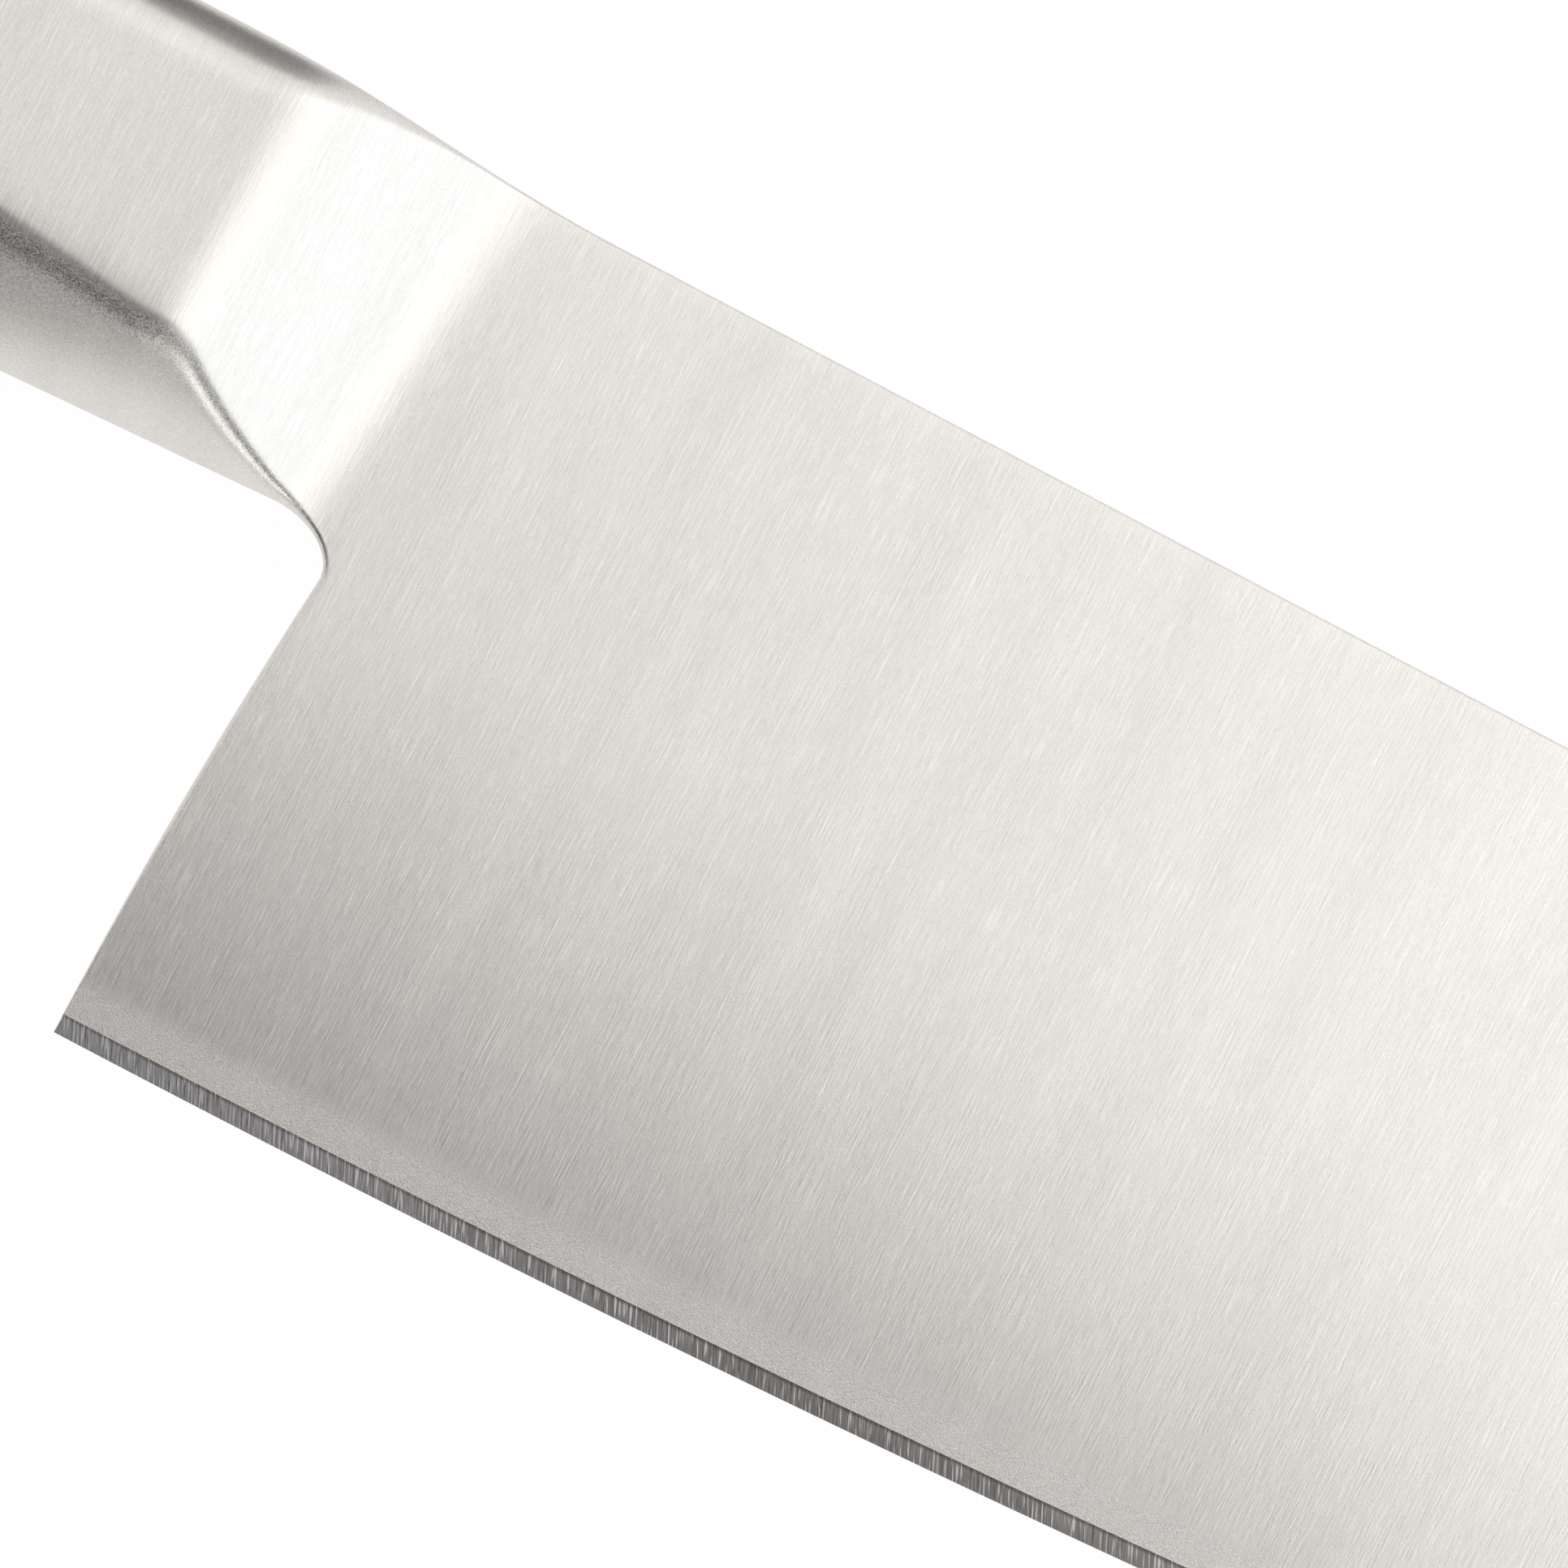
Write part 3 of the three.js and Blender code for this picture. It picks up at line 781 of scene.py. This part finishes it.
cap_loops = []
for turn in np.linspace(0, math.pi / 2, CAP_ROLL_STEPS + 1):
    roll_s = CAP_ROUND * (1 - math.cos(turn)) - HANDLE_LENGTH
    cap_loops.append(cap_loop(roll_s, CAP_ROUND * (1 - math.sin(turn)), 1))
side_start = CAP_ROUND - HANDLE_LENGTH
side_end = CAP_S - CAP_BEVEL
for share in np.linspace(0, 1, CAP_SIDE_STEPS + 1)[1:]:
    cap_loops.append(cap_loop(side_start + (side_end - side_start) * share, 0, 1 - share))
cap_loops.append(cap_loop(CAP_S, CAP_BEVEL, 0))
cap_loops.append(cap_loop(CAP_S, CAP_SPIGOT_INSET, 0))
cap_loops.append(cap_loop(CAP_S + CAP_SPIGOT, CAP_SPIGOT_INSET, 0))
cap_mesh = bmesh.new()
add_loft(cap_mesh, cap_loops)
sharpen(cap_mesh, CREASE)
butt_cap = to_object(cap_mesh, "butt_cap_skin")

# %% [markdown]
# The handle's pieces get the same masks as the blade, apart from the haze. Their lay runs round the
# section instead of up the blade: height less thickness is near enough to the distance walked round it,
# so the strokes keep their length over the edges.

# %% Lay and masks of the handle
for piece in (*shells.values(), *beads.values(), butt_cap):
    points, normals = vertex_table(piece.data)
    round_section = points[:, 1] - np.abs(points[:, 2])
    set_mask(piece.data, "blast", turned_away(normals))
    set_mask(piece.data, "grit", along_ridge(normals))
    set_lay(piece.data, np.stack([points[:, 0], round_section], axis=1))
    print(piece.name, "reaches from s", round(points[:, 0].min(), 1), "to", round(points[:, 0].max(), 1))

# %% [markdown]
# Now the finishes. All of them are made of nodes, and the same few steps come back again and again: place
# a node, set or link its inputs, add or mix two values. These helpers do that, so that the recipes after
# them read like recipes. A group is a recipe with named inputs that several materials can share.

# %% Helpers for nodes


def new_group(name, inputs, outputs):
    group = bpy.data.node_groups.new(name, "ShaderNodeTree")
    for socket, kind, value in inputs:
        made = group.interface.new_socket(socket, in_out="INPUT", socket_type=kind)
        if value is not None:
            made.default_value = value
    for socket, kind in outputs:
        group.interface.new_socket(socket, in_out="OUTPUT", socket_type=kind)
    start = group.nodes.new("NodeGroupInput")
    end = group.nodes.new("NodeGroupOutput")
    return group, start.outputs, end.inputs


def add(tree, kind, settings=None, **inputs):
    """A node with its properties set, and its inputs set or linked by name or by number (i0, i1)."""
    node = tree.nodes.new(kind)
    for key, value in (settings or {}).items():
        setattr(node, key, value)
    for key, value in inputs.items():
        by_number = key[0] == "i" and key[1:].isdigit()
        socket = node.inputs[int(key[1:]) if by_number else key.replace("_", " ")]
        if isinstance(value, bpy.types.NodeSocket):
            tree.links.new(value, socket)
        else:
            socket.default_value = value
    return node


def math_node(tree, operation, a, b):
    return add(tree, "ShaderNodeMath", {"operation": operation}, i0=a, i1=b).outputs[0]


def mix_value(tree, factor, a, b):
    return add(tree, "ShaderNodeMix", {"data_type": "FLOAT"}, i0=factor, i2=a, i3=b).outputs[0]


def mask(tree, name):
    return add(tree, "ShaderNodeAttribute", {"attribute_name": name}).outputs["Fac"]


readable = [a.name for a in blade_skin.data.attributes if a.data_type == "FLOAT"]
print("masks that nodes can read:", readable)

# %% [markdown]
# A belt leaves fine strokes across the blade: thousands of short ones, longer ones among them, a few
# bright hairs, and broad bands that differ a little where the belt met the steel harder. Lines could be
# drawn one by one. Noise stretched along the lay gives all of them at once and never repeats.

# %% Node group: belt strokes
LONG_STROKE_RATE = 0.8
LONG_STROKE_STRETCH = 0.15
LONG_STROKE_SHARE = 0.4
HAIR_RANGE = (0.64, 0.80)
BANDS_ACROSS = 0.35
BANDS_ALONG = 0.035


def stretched_noise(tree, lay, across, along, detail):
    """Noise with features 1/across wide and 1/along long, in the lay's millimetres."""
    scale = add(tree, "ShaderNodeCombineXYZ", X=across, Y=along).outputs[0]
    multiply = {"operation": "MULTIPLY"}
    stretched = add(tree, "ShaderNodeVectorMath", multiply, i0=lay, i1=scale).outputs[0]
    flat = {"noise_dimensions": "2D"}
    return add(tree, "ShaderNodeTexNoise", flat, Vector=stretched, Scale=1.0, Detail=detail).outputs[0]


strokes, start, end = new_group(
    "belt_strokes",
    [
        ("Lay", "NodeSocketVector", None),
        ("Strokes per mm", "NodeSocketFloat", 12.0),
        ("Stroke length", "NodeSocketFloat", 1.1),
        ("Hair shortness", "NodeSocketFloat", 0.4),
    ],
    [("Tone", "NodeSocketFloat"), ("Hairs", "NodeSocketFloat"), ("Bands", "NodeSocketFloat")],
)
along = math_node(strokes, "DIVIDE", 1.0, start["Stroke length"])
fine = stretched_noise(strokes, start["Lay"], start["Strokes per mm"], along, 2.0)
long_rate = math_node(strokes, "MULTIPLY", start["Strokes per mm"], LONG_STROKE_RATE)
long_along = math_node(strokes, "MULTIPLY", along, LONG_STROKE_STRETCH)
drawn_out = stretched_noise(strokes, start["Lay"], long_rate, long_along, 2.0)
strokes.links.new(mix_value(strokes, LONG_STROKE_SHARE, fine, drawn_out), end["Tone"])
hair_along = math_node(strokes, "MULTIPLY", along, start["Hair shortness"])
sparse = stretched_noise(strokes, start["Lay"], long_rate, hair_along, 0.0)
hairs = add(strokes, "ShaderNodeMapRange", Value=sparse, From_Min=HAIR_RANGE[0], From_Max=HAIR_RANGE[1])
strokes.links.new(hairs.outputs[0], end["Hairs"])
bands = stretched_noise(strokes, start["Lay"], BANDS_ACROSS, BANDS_ALONG, 2.0)
strokes.links.new(bands, end["Bands"])
print(strokes.name, "gives", [s.name for s in end if s.name])

# %% [markdown]
# Blasting leaves no direction, only a fine frosted grain. A second group makes it from plain noise in
# space, so that it runs over every edge without a seam.

# %% Node group: blasted grain
COARSE_RATE = 0.35
COARSE_SHARE = 0.2

blasting, start, end = new_group(
    "blasted_grain",
    [("Place", "NodeSocketVector", None), ("Grains per mm", "NodeSocketFloat", 16.0)],
    [("Tone", "NodeSocketFloat"), ("Height", "NodeSocketFloat")],
)
per_metre = math_node(blasting, "MULTIPLY", start["Grains per mm"], 1 / MM)
coarse_rate = math_node(blasting, "MULTIPLY", per_metre, COARSE_RATE)
place = start["Place"]
grain = add(blasting, "ShaderNodeTexNoise", Vector=place, Scale=per_metre, Detail=2.0).outputs[0]
coarse = add(blasting, "ShaderNodeTexNoise", Vector=place, Scale=coarse_rate, Detail=1.0).outputs[0]
blasting.links.new(mix_value(blasting, COARSE_SHARE, grain, coarse), end["Tone"])
blasting.links.new(grain, end["Height"])
print(blasting.name, "gives", [s.name for s in end if s.name])

# %% [markdown]
# Each steel is one Principled shader, fully metallic, with a faintly warm tint. Strokes scatter light
# across themselves, so the shader is anisotropic, with its tangent taken from the lay. The tint is
# multiplied by a level around 1, and that level is where strokes and grain come in.

# %% A bare metal with a lay
STEEL_TINT = (0.755, 0.724, 0.685)
ANISOTROPY = 0.5


def metal(name):
    """A bare metal with its tangent along the lay. Gives the material, the tree, the shader and the lay."""
    material = bpy.data.materials.new(name)
    material.use_nodes = True
    tree = material.node_tree
    shader = tree.nodes["Principled BSDF"]
    shader.inputs["Metallic"].default_value = 1.0
    shader.inputs["Anisotropic"].default_value = ANISOTROPY
    lay = add(tree, "ShaderNodeUVMap", {"uv_map": "lay"}).outputs[0]
    along_lay = {"direction_type": "UV_MAP", "uv_map": "lay"}
    tangent = add(tree, "ShaderNodeTangent", along_lay).outputs[0]
    tree.links.new(tangent, shader.inputs["Tangent"])
    return material, tree, shader, lay


def centred(tree, value, amount):
    """A 0-to-1 value turned into one around 0, times an amount."""
    return math_node(tree, "MULTIPLY", math_node(tree, "SUBTRACT", value, 0.5), amount)


def tinted(tree, shader, level):
    scale = {"operation": "SCALE"}
    colour = add(tree, "ShaderNodeVectorMath", scale, i0=STEEL_TINT, Scale=level).outputs[0]
    tree.links.new(colour, shader.inputs["Base Color"])


print("steel tint:", STEEL_TINT)

# %% [markdown]
# Most of the knife is one steel in two states, brushed and blasted, and the masks choose between them at
# every point. Brushed steel shows strokes, hairs and a little of the grain. Blasted steel shows grain
# alone, deepest where the grit mask is. The bump stays shallow: strokes are a few thousandths deep.

# %% Brushed and blasted steel
HAIR_CONTRAST = 0.07
BAND_CONTRAST = 0.10
SPECKLE_CONTRAST = 0.42
GRIT_CONTRAST = 3.8
LEAST_LEVEL = 0.1
MOST_LEVEL = 1.3
TONE_TO_ROUGHNESS = 0.2
SPECKLE_SHARE = 0.26
BRUSHED_BUMP = 0.85
MATT_BUMP = 0.8
BUMP_DEPTH = 0.016


def steel(name, brushed_roughness, blasted_roughness, strokes_per_mm, stroke_contrast, grain_contrast):
    material, tree, shader, lay = metal(name)
    place = add(tree, "ShaderNodeTexCoord").outputs["Object"]
    belt = {"node_tree": strokes}
    stroke = add(tree, "ShaderNodeGroup", belt, Lay=lay, Strokes_per_mm=strokes_per_mm).outputs
    frost = add(tree, "ShaderNodeGroup", {"node_tree": blasting}, Place=place).outputs
    matt = math_node(tree, "MAXIMUM", mask(tree, "blast"), mask(tree, "haze"))

    hairline = math_node(tree, "MULTIPLY", stroke["Hairs"], HAIR_CONTRAST)
    brushed = math_node(tree, "ADD", centred(tree, stroke["Tone"], stroke_contrast), hairline)
    brushed = math_node(tree, "ADD", brushed, centred(tree, frost["Tone"], SPECKLE_CONTRAST))
    pitting = mix_value(tree, mask(tree, "grit"), grain_contrast, GRIT_CONTRAST)
    tone = mix_value(tree, matt, brushed, centred(tree, frost["Tone"], pitting))
    banded = math_node(tree, "ADD", centred(tree, stroke["Bands"], BAND_CONTRAST), 1.0)
    level = math_node(tree, "ADD", tone, banded)
    kept = add(tree, "ShaderNodeClamp", Value=level, Min=LEAST_LEVEL, Max=MOST_LEVEL).outputs[0]
    tinted(tree, shader, kept)

    rough = mix_value(tree, matt, brushed_roughness, blasted_roughness)
    varied = math_node(tree, "ADD", rough, math_node(tree, "MULTIPLY", tone, TONE_TO_ROUGHNESS))
    tree.links.new(varied, shader.inputs["Roughness"])

    speckled = mix_value(tree, SPECKLE_SHARE, stroke["Tone"], frost["Height"])
    height = mix_value(tree, matt, speckled, frost["Height"])
    depth = mix_value(tree, matt, BRUSHED_BUMP, MATT_BUMP)
    bump = add(tree, "ShaderNodeBump", Strength=depth, Distance=BUMP_DEPTH * MM, Height=height)
    tree.links.new(bump.outputs[0], shader.inputs["Normal"])
    return material


polish = {
    "brushed_roughness": 0.34,
    "blasted_roughness": 0.42,
    "strokes_per_mm": 9.5,
    "stroke_contrast": 0.26,
    "grain_contrast": 1.0,
}
blade_steel = steel("blade_steel", **polish)
print("blade steel has", len(blade_steel.node_tree.nodes), "nodes")

# %% [markdown]
# The sharpened bevel is a finish of its own. The stone leaves coarser strokes and bright hairs. Over them
# lies
# painted shade: a dark line painted along the top of the bevel, and painted shading that keeps the bevel
# light at the heel and darker further along the edge. Both are read from the lay, which holds the distances
# along the edge and above it.

# %% Honed steel
HONED_STROKE_LENGTH = 1.2
HONED_HAIR_SHORTNESS = 1.0
# Painted shade: a dark line painted along the top of the bevel, between these heights above the edge.
TOP_LINE_LOW = BEVEL_WIDTH - 0.22
TOP_LINE_HIGH = BEVEL_WIDTH - 0.08
TOP_LINE_SHADE = 0.55
# Painted shading along the edge: the bevel is painted lighter at the heel and darker beyond, over this run.
PAINTED_SHADING_RUN = 40.0
PAINTED_LIGHT_AT_HEEL = 1.45
PAINTED_SHADE_BEYOND = 0.72
HONED_TONE_TO_ROUGHNESS = 0.15
HONED_BUMP = 0.25
HONED_BUMP_DEPTH = 0.01


def honed_steel(name, roughness, strokes_per_mm, stroke_contrast, hair_contrast):
    """The sharpened bevel: coarser strokes, bright hairs, a painted dark line along its top, and painted
    shading along the edge.
    """
    material, tree, shader, lay = metal(name)
    stroke = add(tree, "ShaderNodeGroup", {"node_tree": strokes}, Lay=lay, Strokes_per_mm=strokes_per_mm,
                 Stroke_length=HONED_STROKE_LENGTH, Hair_shortness=HONED_HAIR_SHORTNESS).outputs
    on_bevel = add(tree, "ShaderNodeSeparateXYZ", Vector=lay).outputs
    # Painted shade: darkens the bevel's colour along its top, a painted dark reflection.
    painted_top_shade = add(tree, "ShaderNodeMapRange", Value=on_bevel["Y"], From_Min=TOP_LINE_LOW,
                   From_Max=TOP_LINE_HIGH, To_Min=1.0, To_Max=TOP_LINE_SHADE).outputs[0]
    # Painted shading: the bevel's colour is lighter at the heel and darker further along the edge.
    painted_shading = add(tree, "ShaderNodeMapRange", Value=on_bevel["X"], From_Min=0.0, From_Max=PAINTED_SHADING_RUN,
               To_Min=PAINTED_LIGHT_AT_HEEL, To_Max=PAINTED_SHADE_BEYOND).outputs[0]
    hairline = math_node(tree, "MULTIPLY", stroke["Hairs"], hair_contrast)
    tone = math_node(tree, "ADD", centred(tree, stroke["Tone"], stroke_contrast), hairline)
    level = math_node(tree, "MULTIPLY", math_node(tree, "ADD", tone, 1.0), painted_top_shade)
    tinted(tree, shader, math_node(tree, "MULTIPLY", level, painted_shading))
    shift = math_node(tree, "MULTIPLY", tone, HONED_TONE_TO_ROUGHNESS)
    tree.links.new(math_node(tree, "ADD", shift, roughness), shader.inputs["Roughness"])
    bump = add(tree, "ShaderNodeBump", Strength=HONED_BUMP, Distance=HONED_BUMP_DEPTH * MM,
               Height=stroke["Tone"])
    tree.links.new(bump.outputs[0], shader.inputs["Normal"])
    return material


edge_steel = honed_steel("edge_steel", roughness=0.30, strokes_per_mm=12.0, stroke_contrast=1.4,
                         hair_contrast=0.7)
print("edge steel has", len(edge_steel.node_tree.nodes), "nodes")

# %% [markdown]
# The handle has the blade's polish, in a material of its own so that it can be changed alone. The weld
# beads are dressed with a coarser wheel: fewer, stronger strokes and less frost. Then every skin takes its
# steel, rides on the frame's one body, and stands for the solids it covers.

# %% Dress the frame
handle_steel = steel("handle_steel", **polish)
weld_steel = steel("weld_steel", brushed_roughness=0.36, blasted_roughness=0.46, strokes_per_mm=8.0,
                   stroke_contrast=0.3, grain_contrast=0.6)
dressing = [
    (blade_skin, [blade_steel, edge_steel], "blade_steel", ("blade", "bolster_right", "bolster_left")),
    (shells["right"], [handle_steel], "handle_steel", ("handle_shell_right",)),
    (shells["left"], [handle_steel], "handle_steel", ("handle_shell_left",)),
    (beads["spine_weld"], [weld_steel], "weld_steel", ("spine_weld",)),
    (beads["keel_weld"], [weld_steel], "weld_steel", ("keel_weld",)),
    (butt_cap, [handle_steel], "handle_steel", ("butt_cap",)),
]
for piece, materials, slot, nodes in dressing:
    for material in materials:
        piece.data.materials.append(material)
    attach(piece, "root")
    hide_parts(*nodes)

# %% [markdown]
# Polished steel is a picture of its surroundings, so lighting it means arranging what it sees. The knife
# lies on white. Painted white alone would need much light, and the steel would burn out. So the floor
# glows at a strength of 1 for the camera and for reflections, and is plain paint for the rest.

# %% The white floor
FLOOR_SIZE = 30.0
FLOOR_DROP = 0.0002
FLOOR_GLOW = 0.985
FLOOR_PAINT = (0.9, 0.9, 0.9, 1)
WHITE = (1, 1, 1, 1)


def white_floor():
    material = bpy.data.materials.new("white_floor")
    material.use_nodes = True
    tree = material.node_tree
    tree.nodes.clear()
    paint = add(tree, "ShaderNodeBsdfDiffuse", Color=FLOOR_PAINT).outputs[0]
    glow = add(tree, "ShaderNodeEmission", Color=WHITE, Strength=1.0).outputs[0]
    path = add(tree, "ShaderNodeLightPath").outputs
    seen = math_node(tree, "MAXIMUM", path["Is Camera Ray"], path["Is Glossy Ray"])
    seen = math_node(tree, "MAXIMUM", seen, path["Is Transmission Ray"])
    share = math_node(tree, "MULTIPLY", seen, FLOOR_GLOW)
    mixed = add(tree, "ShaderNodeMixShader", i0=share, i1=paint, i2=glow).outputs[0]
    tree.links.new(mixed, add(tree, "ShaderNodeOutputMaterial").inputs[0])
    return material


def flat_card(name, width, height, location, material):
    bpy.ops.mesh.primitive_plane_add(size=1, location=location)
    card = bpy.context.object
    card.name = name
    card.scale = (width, height, 1)
    card.data.materials.append(material)
    return card


flat_card("floor", FLOOR_SIZE, FLOOR_SIZE, (0, 0, -FLOOR_DROP), white_floor())
print("floor lies", FLOOR_DROP / MM, "mm under the knife")

# %% [markdown]
# Dark cards draw the form. Upright ones below the handle give the belly and the ridge something dark to
# reflect. A dark and a pale one beside the neck shade the ridge there, and two behind the back darken its
# rounded edge. A flag high over the edge shades the blade at the heel. The camera sees none of them.

# %% The cards
UPRIGHT = (math.pi / 2, 0, 0)
ACROSS_NECK = (math.pi / 2, 0, math.radians(48))
OVERHEAD = (0, 0, math.radians(-22))


def card_paint(name, colour):
    material = bpy.data.materials.new(name)
    material.use_nodes = True
    shader = material.node_tree.nodes["Principled BSDF"]
    shader.inputs["Base Color"].default_value = (*colour, 1)
    shader.inputs["Roughness"].default_value = 1.0
    shader.inputs["Specular IOR Level"].default_value = 0.0
    return material


black = card_paint("black_card", (0.027, 0.021, 0.034))
grey = card_paint("grey_card", (0.30, 0.29, 0.30))
pale = card_paint("pale_card", (0.55, 0.54, 0.55))
dim = card_paint("dim_card", (0.05, 0.047, 0.05))
slate = card_paint("slate_card", (0.03, 0.028, 0.036))
cards = [
    ("card_below_handle", 0.468, 0.097, (-0.268, -0.062, 0.0715), UPRIGHT, slate),
    ("strip_below_handle", 0.45, 0.0150, (-0.263, -0.042, 0.0075), UPRIGHT, black),
    ("card_beside_neck", 0.073, 0.04, (0.0225, -0.065, 0.04), ACROSS_NECK, dim),
    ("card_over_neck", 0.073, 0.05, (0.0225, -0.065, 0.085), ACROSS_NECK, pale),
    ("card_behind_back", 0.515, 0.035, (-0.3025, 0.06, 0.0265), UPRIGHT, grey),
    ("strip_behind_back", 0.45, 0.012, (-0.275, 0.045, 0.006), UPRIGHT, grey),
    ("flag_over_edge", 0.34, 0.24, (-0.089, -0.147, 0.40), OVERHEAD, black),
]
for name, width, height, location, turn, paint in cards:
    card = flat_card(name, width, height, location, paint)
    card.rotation_euler = turn
    card.visible_camera = False

# %% [markdown]
# The light is a white tent, which is the world at a strength of 1, and a few softboxes that add to it
# where the steel should be brighter: two beyond the tip whiten the neck, a narrow strip draws the light
# line on the ridge, and two overhead lift the blade and the flank. Each is given by its radiance.

# %% Tent and softboxes
PLAIN_WHITE = (1, 1, 1)
DAYLIGHT = (0.72, 0.86, 1.0)

world = bpy.data.worlds.new("white_tent")
world.use_nodes = True
tent = world.node_tree.nodes["Background"].inputs
tent["Color"].default_value = WHITE
tent["Strength"].default_value = 1.0
bpy.context.scene.world = world


def softbox(name, location, target, width, height, radiance, colour):
    lamp = bpy.data.lights.new(name, "AREA")
    lamp.shape = "RECTANGLE"
    lamp.size = width
    lamp.size_y = height
    lamp.energy = 4 * width * height * radiance
    lamp.color = colour
    made = bpy.data.objects.new(name, lamp)
    made.location = location
    aim = Vector(target) - Vector(location)
    made.rotation_euler = aim.to_track_quat("-Z", "Y").to_euler()
    made.visible_camera = False
    bpy.context.scene.collection.objects.link(made)


softboxes = [
    ("tip_softbox", (0.432, 0.03, 0.21), (-0.05, 0.01, 0.01), 0.5, 0.42, 0.35, DAYLIGHT),
    ("low_softbox", (0.40, 0.03, 0.05), (-0.05, 0.01, 0.02), 0.5, 0.09, 0.35, DAYLIGHT),
    ("ridge_strip", (0.0385, -0.227, 0.05), (-0.05, 0.005, 0.012), 0.025, 0.10, 7.0, PLAIN_WHITE),
    ("overhead_softbox", (0.21, 0.07, 0.39), (0.21, 0.07, 0.0), 0.36, 0.36, 0.45, PLAIN_WHITE),
    ("flank_softbox", (-0.13, 0.06, 0.39), (-0.13, 0.06, 0.0), 0.16, 0.2, 0.1, PLAIN_WHITE),
]
for row in softboxes:
    softbox(*row)
print("softboxes:", [row[0] for row in softboxes])

# %% [markdown]
# The camera looks straight down on the blade's face with a long lens, turned so that the knife runs from
# the upper left to the lower right, and close enough that both ends leave the picture.

# %% Camera
PICTURE_WIDTH = 76.06
PICTURE_MIDDLE = (25.74, 27.21)
PICTURE_TURN = math.radians(27.83)
LENS = 400.0
SENSOR_WIDTH = 36.0

lens = bpy.data.cameras.new("camera")
lens.lens = LENS
lens.sensor_width = SENSOR_WIDTH
lens.clip_start = 0.01
lens.clip_end = 100.0
distance = LENS / SENSOR_WIDTH * PICTURE_WIDTH
camera = bpy.data.objects.new("camera", lens)
look_at = in_frame([*PICTURE_MIDDLE, PLATE_HALF])
camera.location = Vector(look_at) + Vector((0, 0, distance * MM))
camera.rotation_euler = (0, 0, PICTURE_TURN)
bpy.context.scene.collection.objects.link(camera)
bpy.context.scene.camera = camera
bpy.context.scene.view_settings.view_transform = "Standard"
print("camera stands", round(distance), "mm above the blade")
